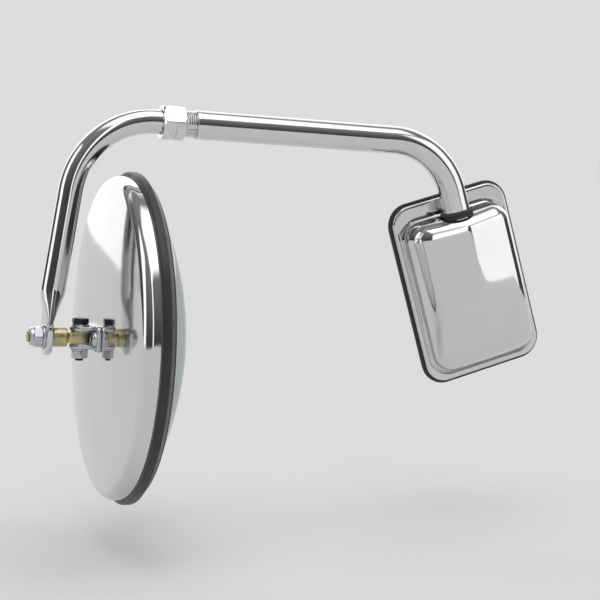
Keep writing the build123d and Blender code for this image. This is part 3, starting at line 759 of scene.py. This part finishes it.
class Finishes:
    """The materials, made once and shared."""

    made = {}

    @classmethod
    def get(cls, slot):
        if slot not in cls.made:
            tone = settings().finish
            stainless, zinc, rubber = tuple(tone.stainless), tuple(tone.zinc), tuple(tone.rubber)
            makers = {
                "polished_stainless": lambda: polished_sheet("polished_sheet", stainless),
                "tube_stainless": lambda: polished_tube("polished_tube", stainless),
                "collar_chrome": lambda: plated("collar_plating", tinted(stainless, 1.05), 0.07),
                "zinc_steel": lambda: plated("bright_zinc", zinc),
                "yellow_zinc": lambda: yellow_plated("yellow_zinc", tuple(tone.yellow)),
                "black_steel": lambda: plated("black_oxide", (0.05, 0.05, 0.055), 0.3),
                "gasket_rubber": lambda: moulded_rubber("gasket_rubber", tinted(rubber, 1.3), 0.6),
                "rim_rubber": lambda: moulded_rubber("rim_rubber", rubber, 0.42),
                "cast_black": lambda: coated_casting("coated_casting", (0.05, 0.05, 0.052)),
                "plate_steel": lambda: milled_plate("milled_plate", (0.55, 0.55, 0.56)),
                "nylon_liner": lambda: moulded_nylon("moulded_nylon", (0.80, 0.77, 0.68)),
                "silvered_glass": lambda: silvered_glass("silvered_glass"),
            }
            cls.made[slot] = makers[slot]()
        return cls.made[slot]


# ---- pod

def cover_front(points, s):
    """Height of the pressed front over the hood. A ridge runs down from the tube entry and melts into the
    face by mid height. The two facets fall away from it in straight lines that round off as the ridge fades,
    the whole front is slightly crowned along its height, and its foot falls a little further."""
    x, y = points[..., 0], points[..., 1]
    top = s.height / 2 - s.flange_top
    down = np.clip((top - y) / (s.height - s.flange_top - s.flange_bottom), 0, 1)
    blend = MM * (0.4 + 26 * np.clip(down - 0.30, 0, 1) ** 1.6)
    away = np.sqrt(x ** 2 + blend ** 2) - blend
    fall = math.tan(s.facet) * away
    crown = s.crown * (2 * down - 0.55) ** 2
    hip = s.hip * np.clip((down - 0.45) / 0.55, 0, 1) ** 2
    return s.ridge - fall - crown - hip


def cover_grid(s):
    """Pressed cover: rings of rounded rectangles from the skirt over the flange and its groove to the foot of
    the raised body, then inward offsets of that foot. Over the first of them the wall rises as a superellipse
    of the offset, and past them the front keeps its own height until the rings close on the middle."""
    half_w, half_h = s.width / 2, s.height / 2
    flange = s.gasket + s.plate + s.wall
    body_w = half_w - s.flange_side
    body_h = (s.height - s.flange_top - s.flange_bottom) / 2
    middle = (s.flange_bottom - s.flange_top) / 2
    swing = np.linspace(0, math.pi / 2, 6)
    skirt = [(0.0, height) for height in np.linspace(s.gasket, flange - s.fold, 3)]
    skirt += [(s.fold * (1 - math.cos(a)), flange - s.fold * (1 - math.sin(a))) for a in swing[1:]]
    rings = []
    for inset, height in skirt:
        rings.append(level(frame_curve(half_w - inset, half_h - inset, s.corner - inset), height))
    edge = frame_curve(half_w - s.fold, half_h - s.fold, s.corner - s.fold)
    foot = frame_curve(body_w, body_h, s.body_corner, middle)
    ahead = np.roll(foot, -1, 0) - np.roll(foot, 1, 0)
    out = np.stack([ahead[:, 1], -ahead[:, 0]], 1)
    out /= np.linalg.norm(out, axis=1, keepdims=True)
    reach = np.sum((edge - foot) * out, 1)
    for share in np.linspace(0, 1, 26)[1:]:
        curve = edge * (1 - share) + foot * share
        left = reach * (1 - share)
        groove = -s.groove * np.exp(-((left - 1.9 * MM) / (0.75 * MM)) ** 2)
        sweep = s.fillet * np.clip(1 - left / s.fillet, 0, 1) ** 2 * 0.5
        rings.append(level(curve, flange + groove + sweep))
    base = flange + s.fillet * 0.5
    share = np.linspace(0, 1, 30)[1:]
    insets = np.concatenate([s.roll * share ** 2.2, np.linspace(s.roll, body_w, 30)[1:]])
    for inset in insets:
        curve = frame_curve(body_w - inset, body_h - inset, max(s.body_corner - inset, 0.0), middle)
        rise = (1 - (1 - min(inset / s.roll, 1.0)) ** 2.4) ** (1 / 2.4)
        top = cover_front(curve, s)
        rings.append(level(curve, base + (top - base) * rise))
    return np.stack(rings)


def thicken(piece, wall):
    """Gives a sheet its wall on the inner side and applies it."""
    modifier = piece.modifiers.new("wall", "SOLIDIFY")
    modifier.thickness = wall
    modifier.offset = -1.0
    modifier.use_even_offset = True
    apply_modifiers(piece)


def apply_modifiers(piece):
    bpy.context.view_layer.update()
    graph = bpy.context.evaluated_depsgraph_get()
    made = bpy.data.meshes.new_from_object(piece.evaluated_get(graph))
    old = piece.data
    piece.modifiers.clear()
    piece.data = made
    made.name = old.name
    bpy.data.meshes.remove(old)


def drill(piece, blocks):
    """Cuts closed surfaces out of a piece."""
    cutter = make("cutter", blocks, "pod", "zinc_steel")
    modifier = piece.modifiers.new("hole", "BOOLEAN")
    modifier.operation = "DIFFERENCE"
    modifier.solver = "EXACT"
    modifier.object = cutter
    apply_modifiers(piece)
    bpy.data.objects.remove(cutter)


def flip_outwards(piece, place):
    """Turns a sheet's faces so that they look along the place's z axis."""
    shape = bmesh.new()
    shape.from_mesh(piece.data)
    axis = Vector(place.z)
    lean = sum(face.normal.dot(axis) * face.calc_area() for face in shape.faces)
    if lean < 0:
        bmesh.ops.reverse_faces(shape, faces=shape.faces)
    shape.to_mesh(piece.data)
    shape.free()


class MIRROR_OT_pod(Operator):
    """Build the pressed pod cover, its rubber sheet, the tube grommet and the threaded studs"""

    bl_idname = "towing_mirror.pod"
    bl_label = "Pod"

    def execute(self, context):
        s = settings().pod
        tube = settings().arm.outer
        top = s.height / 2 - s.flange_top
        self.cover(s, tube, top)
        self.sheet(s)
        self.seal(s, tube, top)
        self.studs(s)
        return {"FINISHED"}

    def cover(self, s, tube, top):
        cover = make("pressed_cover", [(POD.carry(cover_grid(s)), False, True, None)], "pod",
                     "polished_stainless", ["pod_cover"], 50)
        flip_outwards(cover, POD)
        thicken(cover, s.wall)
        neck = tube + s.seal_gap + s.seal_neck
        low, high = top - 30 * MM, top + 6 * MM
        drill(cover, [lathe(SOCKET, [(0, low), (neck, low), (neck, high), (0, high)], 72, False)])
        cover.data.shade_smooth()
        cover.data.set_sharp_from_angle(angle=math.radians(50))

    def sheet(self, s):
        """Rubber sheet: rounded rectangles round its soft edge, closed on both faces."""
        half_w, half_h = s.width / 2 + s.gasket_lip, s.height / 2 + s.gasket_lip
        edge = 1.1 * MM
        swing = np.linspace(0, math.pi / 2, 5)
        back = [(edge * (1 - math.sin(a)), edge * (1 - math.cos(a))) for a in swing]
        front = [(inset, s.gasket - height) for inset, height in back[::-1]]
        rows = []
        for inset, height in [(half_w, 0.0), *back, *front, (half_w, s.gasket)]:
            width = half_w - inset
            curve = frame_curve(width, half_h - inset, min(s.corner + s.gasket_lip, max(width, 0)))
            rows.append(level(curve, height))
        make("gasket_sheet", [(POD.carry(np.stack(rows)), False, True, None)], "pod", "gasket_rubber",
             ["pod_gasket"])

    def seal(self, s, tube, top):
        """Grommet round the tube: an inner lip, a neck in the cover's hole and a rounded outer lip."""
        bore = tube + s.seal_gap
        neck, lip = bore + s.seal_neck, bore + s.seal_lip
        inside = top - s.wall
        low, high = inside - s.seal_lip_height, top + s.seal_lip_height
        inner_lip = neck + 0.4 * MM
        corners = [(bore, low), (inner_lip, low), (inner_lip, inside), (neck, inside),
                   (neck, top), (lip, top), (lip, high), (bore, high)]
        outline = soften(corners, np.array([0.3, 0.3, 0, 0, 0, 0.7, 0.7, 0.5]) * MM)
        make("tube_seal", [lathe(SOCKET, outline)], "pod", "gasket_rubber", ["tube_grommet"])

    def studs(self, s):
        """Four studs: welded head, plain shoulder through the plate and rubber, and a rolled thread."""
        low, high = reach_in("mounting_studs", POD, "z")
        x_low, x_high = reach_in("mounting_studs", POD, "x")
        y_low, y_high = reach_in("mounting_studs", POD, "y")
        head = s.stud_head
        under = high - s.stud_head_height
        root = -1.2 * MM
        corners = [(0, root), (s.stud, root), (s.stud, under), (head, under), (head, high), (0, high)]
        shank = soften(corners, [0, 0.2 * MM, 0.2 * MM, 0.3 * MM, 0.8 * MM, 0], False)
        blocks = []
        for x in (x_low + head, x_high - head):
            for y in (y_low + head, y_high - head):
                place = POD.shifted(x, y)
                blocks.append(thread(place, s.stud, s.stud_pitch, low, -1.0 * MM))
                blocks.append(lathe(place, shank, 48, False))
        make("threaded_studs", blocks, "pod", "zinc_steel", ["mounting_studs"], 60)


# ---- arm

class MIRROR_OT_arm(Operator):
    """Build the two bent tubes, the threaded neck and the flattened, drilled end"""

    bl_idname = "towing_mirror.arm"
    bl_label = "Arm"

    def execute(self, context):
        s = settings().arm
        self.outer_tube(s)
        self.inner_tube(s)
        return {"FINISHED"}

    def outer_tube(self, s):
        end = along_run("outer_arm_tube")[1]
        neck = along_run("collar_nut")[0] - s.neck_length
        foot = SOCKET.carry([0, 0, reach_in("arm_end_plug", SOCKET, "z")[0]])
        far = CORNER_1 + RUN_DIR * neck
        route = Route(foot, CORNER_1, far, s.outer_bend)
        tube = pipe(route, pipe_stations(0, route.length, s.outer, s.outer - s.wall, 2.2 * MM), 96)
        rolled = thread(RUN, s.outer - 0.7 * MM, s.neck_pitch, neck - 1.2 * MM, end, 0.45 * MM,
                        s.outer - s.wall, 72)
        make("outer_tube", [tube, rolled], "outer_arm", "tube_stainless", ["outer_arm_tube"], 50)

    def inner_tube(self, s):
        lean = math.pi * 1.5 - s.leg_lean
        leg = np.array([math.cos(lean), 0.0, math.sin(lean)])
        up = PIVOT.z
        leg_foot = HEAD.origin + up * s.tab_rise
        corner = crossing(CORNER_1, RUN_DIR, leg_foot, leg)
        tail = CORNER_1 + RUN_DIR * s.tail_start
        route = Route(tail, corner, leg_foot, s.inner_bend)
        round_end = route.length - s.taper
        bore = s.inner - s.wall
        rows = pipe_stations(0, round_end, s.inner, bore, 2.2 * MM)
        keep = rows[rows[:, 1] >= s.inner - 1e-6]
        lip = rows[:7]
        share = np.linspace(0, 1, 26)[1:]
        ease = share * share * (3 - 2 * share)
        flat = s.tab_thickness / 2 - 0.02 * MM
        taper = np.stack([round_end + share * (s.taper + 3 * MM),
                          s.inner + (s.tab_width / 2 - s.inner) * ease,
                          s.inner + (flat - s.inner) * ease,
                          2.0 + 2.6 * ease ** 2], 1)
        shut = taper[-1:].copy()
        shut[:, 1:3] = 0.0
        back = keep[::-1].copy()
        back[:, 1:3] = bore
        plug = back[:1].copy()
        plug[:, 1:3] = 0.0
        stations = np.concatenate([lip, keep, taper, shut, plug, back])
        body = pipe(route, stations, 96)
        make("inner_tube", [body, self.tab(s)], "inner_arm", "tube_stainless", ["inner_arm_tube"], 50)

    def tab(self, s):
        """Flat end: a half circle below the swivel hole and a straight-sided tongue above it."""
        wide, half = s.tab_width / 2, s.tab_thickness / 2
        outline = two_halves(wide, s.tab_rise + 1 * MM, wide, 5.0, 2.0)
        hole = ring_curve(settings().hardware.stud + 0.1 * MM)
        return plate(HEAD, outline, hole, -half, half, 0.9 * MM)


class MIRROR_OT_collar(Operator):
    """Build the hexagonal collar nut that locks the sliding tube"""

    bl_idname = "towing_mirror.collar"
    bl_label = "Collar"

    def execute(self, context):
        s = settings().arm
        low, high = along_run("collar_nut")
        nut = nut_stations(s.nut_across, low, high, s.inner + 0.3 * MM, 0.5 * MM)
        apothem, corner = s.nut_across / 2, s.nut_across / 2 * CORNER_SHARE
        middle = (low + high) / 2
        cut = [(middle + offset * MM, apothem - depth, corner)
               for offset, depth in ((-1.2, 0), (-0.8, s.nut_groove), (0.8, s.nut_groove), (1.2, 0))]
        stations = np.concatenate([nut[:9], cut, nut[9:]])
        make("hex_collar", [hexed(RUN, stations, 144)], "collar", "collar_chrome", ["collar_nut"], 28)
        return {"FINISHED"}


# ---- swivel and pivot

class MIRROR_OT_swivel(Operator):
    """Build the yellow zinc post, its stud, washers and lock nut"""

    bl_idname = "towing_mirror.swivel"
    bl_label = "Swivel"

    def execute(self, context):
        s = settings().hardware
        washer_low, seat = reach_in("spring_washer", HEAD, "z")
        self.post(s, washer_low, seat)
        low, high = reach_in("swivel_washer", HEAD, "z")
        plain = washer(HEAD, s.swivel_washer, s.swivel_hole, low, high)
        make("plain_washer", [plain], "swivel", "zinc_steel", ["swivel_washer"])
        self.lock_nut(s)
        split = washer(HEAD, s.spring_washer, s.swivel_hole, washer_low, seat)
        make("split_washer", [split], "inner_arm", "zinc_steel", ["spring_washer"])
        return {"FINISHED"}

    def post(self, s, washer_low, seat):
        """Barrel from its seat to the neck, the eye round the pivot, and the stud behind the seat."""
        tip = reach_in("swivel_post", HEAD, "z")[0]
        barrel = rod(s.post, seat, PIVOT_REACH - s.neck, 0.8 * MM, 0.8 * MM)
        lug = two_halves(s.post, s.eye_reach, s.post, 7.0, 2.0)
        eye = plate(PIVOT, lug, ring_curve(s.pivot + 0.06 * MM), -s.eye / 2, s.eye / 2, 0.7 * MM)
        stud = thread(HEAD, s.stud, s.stud_pitch, tip, washer_low - 4.2 * MM)
        shank = rod(s.stud - 0.1 * MM, washer_low - 4.4 * MM, seat + 0.5 * MM, 0.3 * MM, 0)
        blocks = [lathe(HEAD, barrel, 96, False), eye, stud, lathe(HEAD, shank, 48, False)]
        make("swivel_barrel", blocks, "swivel", "yellow_zinc", ["swivel_post"])

    def lock_nut(self, s):
        """Hexagon with a round crown behind it that holds the locking ring."""
        low, high = reach_in("swivel_nut", HEAD, "z")
        flats = high - s.swivel_flats
        nut = nut_stations(s.swivel_across, flats, high, s.stud, 0.1 * MM)[:-4]
        bore, crown = s.stud, 5.8 * MM
        turned = [(high, bore + 0.3 * MM), (high - 0.3 * MM, bore), (low + 0.4 * MM, bore - 0.1 * MM),
                  (low, bore + 0.3 * MM), (low, crown - 0.7 * MM), (low + 0.3 * MM, crown - 0.2 * MM),
                  (low + 0.9 * MM, crown), (flats - 0.05 * MM, crown)]
        ring = [(height, FAR, radius) for height, radius in turned]
        body = hexed(HEAD, np.concatenate([nut, ring]))
        make("lock_nut", [body], "swivel", "zinc_steel", ["swivel_nut"], 28)


class MIRROR_OT_pivot(Operator):
    """Build the clevis, its screws, and the pivot bolt with its washers and nut"""

    bl_idname = "towing_mirror.pivot"
    bl_label = "Pivot"

    def execute(self, context):
        s = settings().hardware
        ear_out = s.ear_in + s.clevis
        apex = reach_in("mirror_clevis", HEAD, "z")[1]
        base_low = apex - s.clevis
        self.clevis(s, ear_out, base_low, apex)
        tip, top = reach_in("pivot_bolt", PIVOT, "z")
        seat = reach_in("pivot_washers", PIVOT, "z")[1]
        head = bolt_head_stations(s.pivot_across, seat, top)
        threaded = thread(PIVOT, s.pivot, s.pivot_pitch, tip, -s.ear_in)
        plain = rod(s.pivot - 0.02 * MM, -s.ear_in - 0.3 * MM, seat + 0.3 * MM, 0.2 * MM, 0)
        blocks = [hexed(PIVOT, head, 120, False), threaded, lathe(PIVOT, plain, 48, False)]
        make("hinge_bolt", blocks, "head", "black_steel", ["pivot_bolt"], 28)
        washers = [washer(PIVOT, s.pivot_washer, s.pivot_hole, low, high)
                   for low, high in ((ear_out, seat), (-seat, -ear_out))]
        make("hinge_washers", washers, "head", "zinc_steel", ["pivot_washers"])
        low, high = reach_in("pivot_nut", PIVOT, "z")
        nut = nut_stations(s.pivot_across, low, high, s.pivot, 0.1 * MM)
        make("hinge_nut", [hexed(PIVOT, nut)], "head", "zinc_steel", ["pivot_nut"], 28)
        self.screws(s, base_low)
        return {"FINISHED"}

    def clevis(self, s, ear_out, base_low, apex):
        """Base plate on the shell, and two ears, round about the pivot and straight back to the base."""
        edge = frame_curve(s.base_width, s.base_height, 4 * MM)
        blocks = [plate(HEAD, edge, frame_curve(9.5 * MM, 0.0, 0.0), base_low, apex, 0.8 * MM)]
        outline = two_halves(s.ear, s.ear, base_low - PIVOT_REACH + 1.2 * MM, 2.0, 9.0)
        hole = ring_curve(s.pivot + 0.02 * MM)
        for low, high in ((s.ear_in, ear_out), (-ear_out, -s.ear_in)):
            blocks.append(plate(PIVOT, outline, hole, low, high, 0.6 * MM))
        make("clevis_bracket", blocks, "head", "zinc_steel", ["mirror_clevis"])

    def screws(self, s, seat):
        """Two button heads with hexagon sockets, their shanks running on into the head."""
        tip = reach_in("clevis_screws", HEAD, "z")[1]
        swing = 1.35
        top = seat - s.screw_head_height
        dome = [(seat - s.screw_head_height * math.sin(share * swing) / math.sin(swing), FAR,
                 s.screw_head * math.cos(share * swing) ** 0.45) for share in np.linspace(0, 1, 7)[:-1]]
        face = [(top, FAR, s.screw_head / 2)]
        socket = [(top, s.socket, FAR), (top + 1.4 * MM, s.socket, FAR), (top + 1.7 * MM, FAR, 0.0)]
        blocks = []
        for side in (-1, 1):
            place = HEAD.shifted(side * s.screw_place)
            blocks.append(hexed(place, [(seat, FAR, 0.0)] + dome + face + socket, 72, False))
            blocks.append(thread(place, s.screw, s.screw_pitch, seat - 0.2 * MM, tip))
        make("button_screws", blocks, "head", "zinc_steel", ["clevis_screws"], 28)


# ---- mirror head

class HeadShape:
    """Turned outline of the head in its own (radius, distance from the apex)."""

    def __init__(self, s):
        self.s = s
        self.angle = math.asin((s.shell - s.corner - s.boss) / (s.dome - s.corner))
        self.corner_a = s.dome * (1 - math.cos(self.angle)) + s.corner * math.cos(self.angle)
        self.depth = self.corner_a + s.band
        self.glass_r = s.shell - s.wall
        self.back_r = s.glass_curve - s.glass
        self.centre = self.depth + s.web - math.sqrt(self.back_r ** 2 - self.glass_r ** 2)

    def dish(self, inset):
        """Apex to rim edge: flat boss with a soft step, spherical dome, tight corner, straight band."""
        s = self.s
        flat = np.linspace(0, s.boss * 0.9, 5)
        swing = np.linspace(0.0, self.angle, 60)
        dome = np.stack([s.boss + (s.dome - inset) * np.sin(swing),
                         s.dome - (s.dome - inset) * np.cos(swing)], 1)
        turn = np.linspace(self.angle, math.pi / 2, 14)[1:]
        corner = np.stack([s.shell - s.corner + (s.corner - inset) * np.sin(turn),
                           self.corner_a - (s.corner - inset) * np.cos(turn)], 1)
        start = np.stack([flat, np.full_like(flat, inset)], 1)
        end = np.array([[s.shell - inset, self.depth - 0.2 * MM]])
        return np.concatenate([start, dome, corner, end])

    def glass_front(self, reach):
        return self.centre + np.sqrt(self.s.glass_curve ** 2 - reach ** 2)

    def glass_back(self, reach):
        return self.centre + np.sqrt(self.back_r ** 2 - reach ** 2)


class MIRROR_OT_head(Operator):
    """Build the polished dish, the rubber rim and the convex glass"""

    bl_idname = "towing_mirror.head"
    bl_label = "Mirror head"

    def execute(self, context):
        s = settings().head
        shape = HeadShape(s)
        apex = reach_in("mirror_shell", HEAD, "z")[0]
        place = HEAD.shifted(z=apex)
        outline = np.concatenate([shape.dish(0.0), shape.dish(s.wall)[::-1]])
        dish = lathe(place, outline, 192, False)
        make("dished_shell", [dish], "head", "polished_stainless", ["mirror_shell"], 50)
        self.rim(s, shape, place)
        self.glass(shape, place)
        return {"FINISHED"}

    def rim(self, s, shape, place):
        """Rubber channel: a skirt over the band, a bead of a wall, a lip that rolls down onto the glass."""
        rim_r = s.shell + s.rim
        lip_r = shape.glass_r - s.lip
        low = shape.depth - s.skirt
        high = shape.glass_front(lip_r) + s.lip_rise
        shoulder = high - s.rim_fall
        corners = [(s.shell, low), (rim_r - 1.0 * MM, low), (rim_r, low + 1.2 * MM), (rim_r, shoulder),
                   (lip_r + 3.4 * MM, high - 1.7 * MM), (lip_r + 3.0 * MM, high - 2.0 * MM),
                   (lip_r + 2.4 * MM, high - 0.7 * MM), (lip_r + 1.0 * MM, high), (lip_r, high - 0.7 * MM),
                   (lip_r, shape.glass_front(lip_r) + 0.02 * MM)]
        radii = [0.0, 0.6, 0.9, 1.2, 0.25, 0.25, 0.8, 0.8, 0.4, 0.0]
        outer = soften(corners, np.array(radii) * MM, False, 6)
        reach = np.linspace(lip_r, shape.glass_r, 8)[1:]
        front = np.stack([reach, shape.glass_front(reach) + 0.02 * MM], 1)
        ledge_r = shape.glass_r - s.ledge
        under = [(shape.glass_r, shape.glass_back(shape.glass_r)), (ledge_r, shape.glass_back(ledge_r)),
                 (ledge_r, shape.depth), (s.shell, shape.depth)]
        section = np.concatenate([outer, front, under])
        make("rubber_rim", [lathe(place, section, 192)], "head", "rim_rubber", ["rim_gasket"], 35)

    def glass(self, shape, place):
        """Glass between two spheres on one centre. The grain attribute holds the share of its radius."""
        reach = np.sin(np.linspace(0, math.pi / 2, 70)) * shape.glass_r
        front = np.stack([reach, shape.glass_front(reach)], 1)
        back = np.stack([reach[::-1], shape.glass_back(reach[::-1])], 1)
        points, wrap, around, grain = lathe(place, np.concatenate([front, back]), 192, False)
        share = np.concatenate([reach, reach[::-1]]) / shape.glass_r
        grain[..., 2] = share[:, None]
        make("convex_glass", [(points, wrap, around, grain)], "head", "silvered_glass", ["mirror_glass"], 50)


class MIRROR_OT_finishes(Operator):
    """Give every CAD node that still shows its own finish"""

    bl_idname = "towing_mirror.finishes"
    bl_label = "CAD finishes"

    def execute(self, context):
        for entry in frame["record"]["subparts"]:
            node = frame["nodes"][entry["node"]]
            node.data.materials.clear()
            node.data.materials.append(Finishes.get(entry["material_slot"]))
        return {"FINISHED"}


# ---- stage

# turn from the object's front towards its right, rise, half width, half height, soft edge, strength
SOFT_BOXES = (
    (56, 14, 0.36, 0.50, 0.05, 1.30),
    (-7, 14, 0.08, 0.70, 0.03, 1.50),
    (-98, 16, 0.26, 0.60, 0.05, 1.40),
    (-168, 18, 0.30, 0.55, 0.14, 1.25),
    (25, 76, 0.45, 0.50, 0.12, 1.60),
    (148, 22, 0.62, 0.55, 0.18, 1.25),
)

# brightness of the room under and over the object where no soft box hangs, and of what the camera sees of it
ROOM_LOW = 0.035
ROOM_HIGH = 0.30
BACKDROP = 0.72

# depth of the floor under the object, and its radius, in metres
FLOOR_DROP = 0.035
FLOOR_RADIUS = 60.0

# name, place from the object's middle, power, spread in degrees
SUNS = (("key_sun", (-0.7, -1.0, 1.9), 0.55, 40), ("fill_sun", (1.2, 0.9, 1.6), 0.15, 70))

# the camera's turn and rise round the object in degrees, its distance in metres, and its lens in millimetres
VIEW_TURN = -19
VIEW_RISE = 5
VIEW_DISTANCE = 1.22
VIEW_LENS = 108


def heading(turn, rise):
    """Unit vector from the object: turn goes round from its front towards its right, rise goes up."""
    turn, rise = math.radians(turn), math.radians(rise)
    return Vector((math.sin(turn) * math.cos(rise), -math.cos(turn) * math.cos(rise), math.sin(rise)))


class MIRROR_OT_stage(Operator):
    """Set the pale floor, the studio lights, the surroundings and the camera"""

    bl_idname = "towing_mirror.stage"
    bl_label = "Stage"

    def execute(self, context):
        low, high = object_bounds()
        self.floor(low, high)
        self.surroundings()
        self.lights((low + high) / 2)
        self.camera(low, high)
        return {"FINISHED"}

    def floor(self, low, high):
        """Round floor that stays flat under the object."""
        centre = (low + high) / 2
        reach = np.linspace(0, 1, 24)[:, None] ** 2 * FLOOR_RADIUS
        angle = round_angles(64)[None]
        points = polar(reach, angle, 0 * reach + low.z - FLOOR_DROP) + np.array([centre.x, centre.y, 0])
        index = np.arange(points.shape[0] * points.shape[1]).reshape(points.shape[:2])
        mesh = bpy.data.meshes.new("studio_floor")
        mesh.from_pydata(points.reshape(-1, 3).tolist(), [], grid_quads(index, False, True)[:, ::-1].tolist())
        floor = add_object("studio_floor", mesh)
        shader = Shader("floor_paper")
        fibre = shader.noise(shader.coordinates(), 300.0, 3.0)
        tone = tuple(settings().finish.floor)
        shader.set(metallic=0.0, specular_ior_level=0.0, roughness=0.9)
        shader.tone(fibre, tone, 0.99, 1.01)
        mesh.materials.append(shader.material)
        floor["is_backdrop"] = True

    def surroundings(self):
        """What polished metal reflects: a dim room with soft boxes hung round it. Each box is a rectangle on
        a plane square to its heading. A ray's two tangents against that heading say if it lands inside."""
        world = bpy.data.worlds.get("World") or bpy.data.worlds.new("World")
        bpy.context.scene.world = world
        world.use_nodes = True
        tree = world.node_tree
        tree.nodes.clear()

        def node(kind, links=(), **values):
            return add_node(tree, kind, links, **values).outputs

        def maths(operation, one, two=0.0):
            return node("Math", [(0, one), (1, two)], operation=operation)[0]

        def along(vector):
            return node("VectorMath", [(0, ray), (1, tuple(vector))], operation="DOT_PRODUCT")["Value"]

        def soft_box(turn, rise, half_width, half_height, edge):
            middle = heading(turn, rise)
            right = heading(turn + 90, 0)
            over = middle.cross(right)
            ahead = maths("MAXIMUM", along(middle), 0.001)
            inside = maths("GREATER_THAN", along(middle), 0.02)
            for side, half in ((right, half_width), (over, half_height)):
                reach = maths("ABSOLUTE", maths("DIVIDE", along(side), ahead))
                border = [("Value", reach), ("From Min", half + edge), ("From Max", half - edge)]
                fade = node("MapRange", border, interpolation_type="SMOOTHSTEP")[0]
                inside = maths("MULTIPLY", inside, fade)
            return inside

        ray = node("TexCoord")["Generated"]
        height = node("SeparateXYZ", [(0, ray)])["Z"]
        room = [("Value", height), ("From Max", 1.0), ("To Min", ROOM_LOW), ("To Max", ROOM_HIGH)]
        total = node("MapRange", room)[0]
        for turn, rise, half_width, half_height, edge, strength in SOFT_BOXES:
            lit = maths("MULTIPLY", soft_box(turn, rise, half_width, half_height, edge), strength)
            total = maths("ADD", total, lit)
        cast = node("Background", [("Color", total), ("Strength", 1.0)])[0]
        seen = node("Background", [("Color", (BACKDROP, BACKDROP, BACKDROP, 1)), ("Strength", 1.0)])[0]
        camera_ray = node("LightPath")["Is Camera Ray"]
        mix = node("MixShader", [(0, camera_ray), (1, cast), (2, seen)])[0]
        node("OutputWorld", [(0, mix)])
        bpy.context.scene.view_settings.view_transform = "Standard"

    def lights(self, centre):
        """One broad soft sun for the even floor and a fill from the other side, both unseen in the metal."""
        for name, offset, power, spread in SUNS:
            light = bpy.data.lights.new(name, "SUN")
            light.energy = power
            light.angle = math.radians(spread)
            lamp = add_object(name, light)
            lamp.location = centre + Vector(offset)
            lamp.rotation_euler = (centre - lamp.location).to_track_quat("-Z", "Y").to_euler()
            lamp.visible_glossy = False

    def camera(self, low, high):
        data = bpy.data.cameras.new("view")
        data.lens = VIEW_LENS
        camera = add_object("view", data)
        bpy.context.scene.camera = camera
        away = heading(VIEW_TURN, VIEW_RISE)
        camera.location = (low + high) / 2 + away * VIEW_DISTANCE
        camera.rotation_euler = (-away).to_track_quat("-Z", "Y").to_euler()


class MIRROR_PT_panel(Panel):
    """Sizes, colours and build steps"""

    bl_idname = "MIRROR_PT_panel"
    bl_label = "Towing mirror"
    bl_space_type = "VIEW_3D"
    bl_region_type = "UI"
    bl_category = "Towing mirror"

    def draw(self, context):
        held = context.scene.towing_mirror
        for group in (held.pod, held.arm, held.hardware, held.head, held.finish):
            box = self.layout.box()
            for key in group.__annotations__:
                box.prop(group, key)
        for step in STEPS:
            self.layout.operator(step.bl_idname)


STEPS = (MIRROR_OT_finishes, MIRROR_OT_pod, MIRROR_OT_arm, MIRROR_OT_collar, MIRROR_OT_swivel,
         MIRROR_OT_pivot, MIRROR_OT_head, MIRROR_OT_stage)
GROUPS = (PodSettings, ArmSettings, HardwareSettings, HeadSettings, FinishSettings, TowingMirrorSettings)


def register():
    for kind in (*GROUPS, *STEPS, MIRROR_PT_panel):
        bpy.utils.register_class(kind)
    bpy.types.Scene.towing_mirror = PointerProperty(type=TowingMirrorSettings)


def unregister():
    del bpy.types.Scene.towing_mirror
    for kind in reversed((*GROUPS, *STEPS, MIRROR_PT_panel)):
        bpy.utils.unregister_class(kind)


def main():
    register()
    for step in STEPS:
        group, name = step.bl_idname.split(".")
        getattr(getattr(bpy.ops, group), name)()


if __name__ == "__main__":
    main()
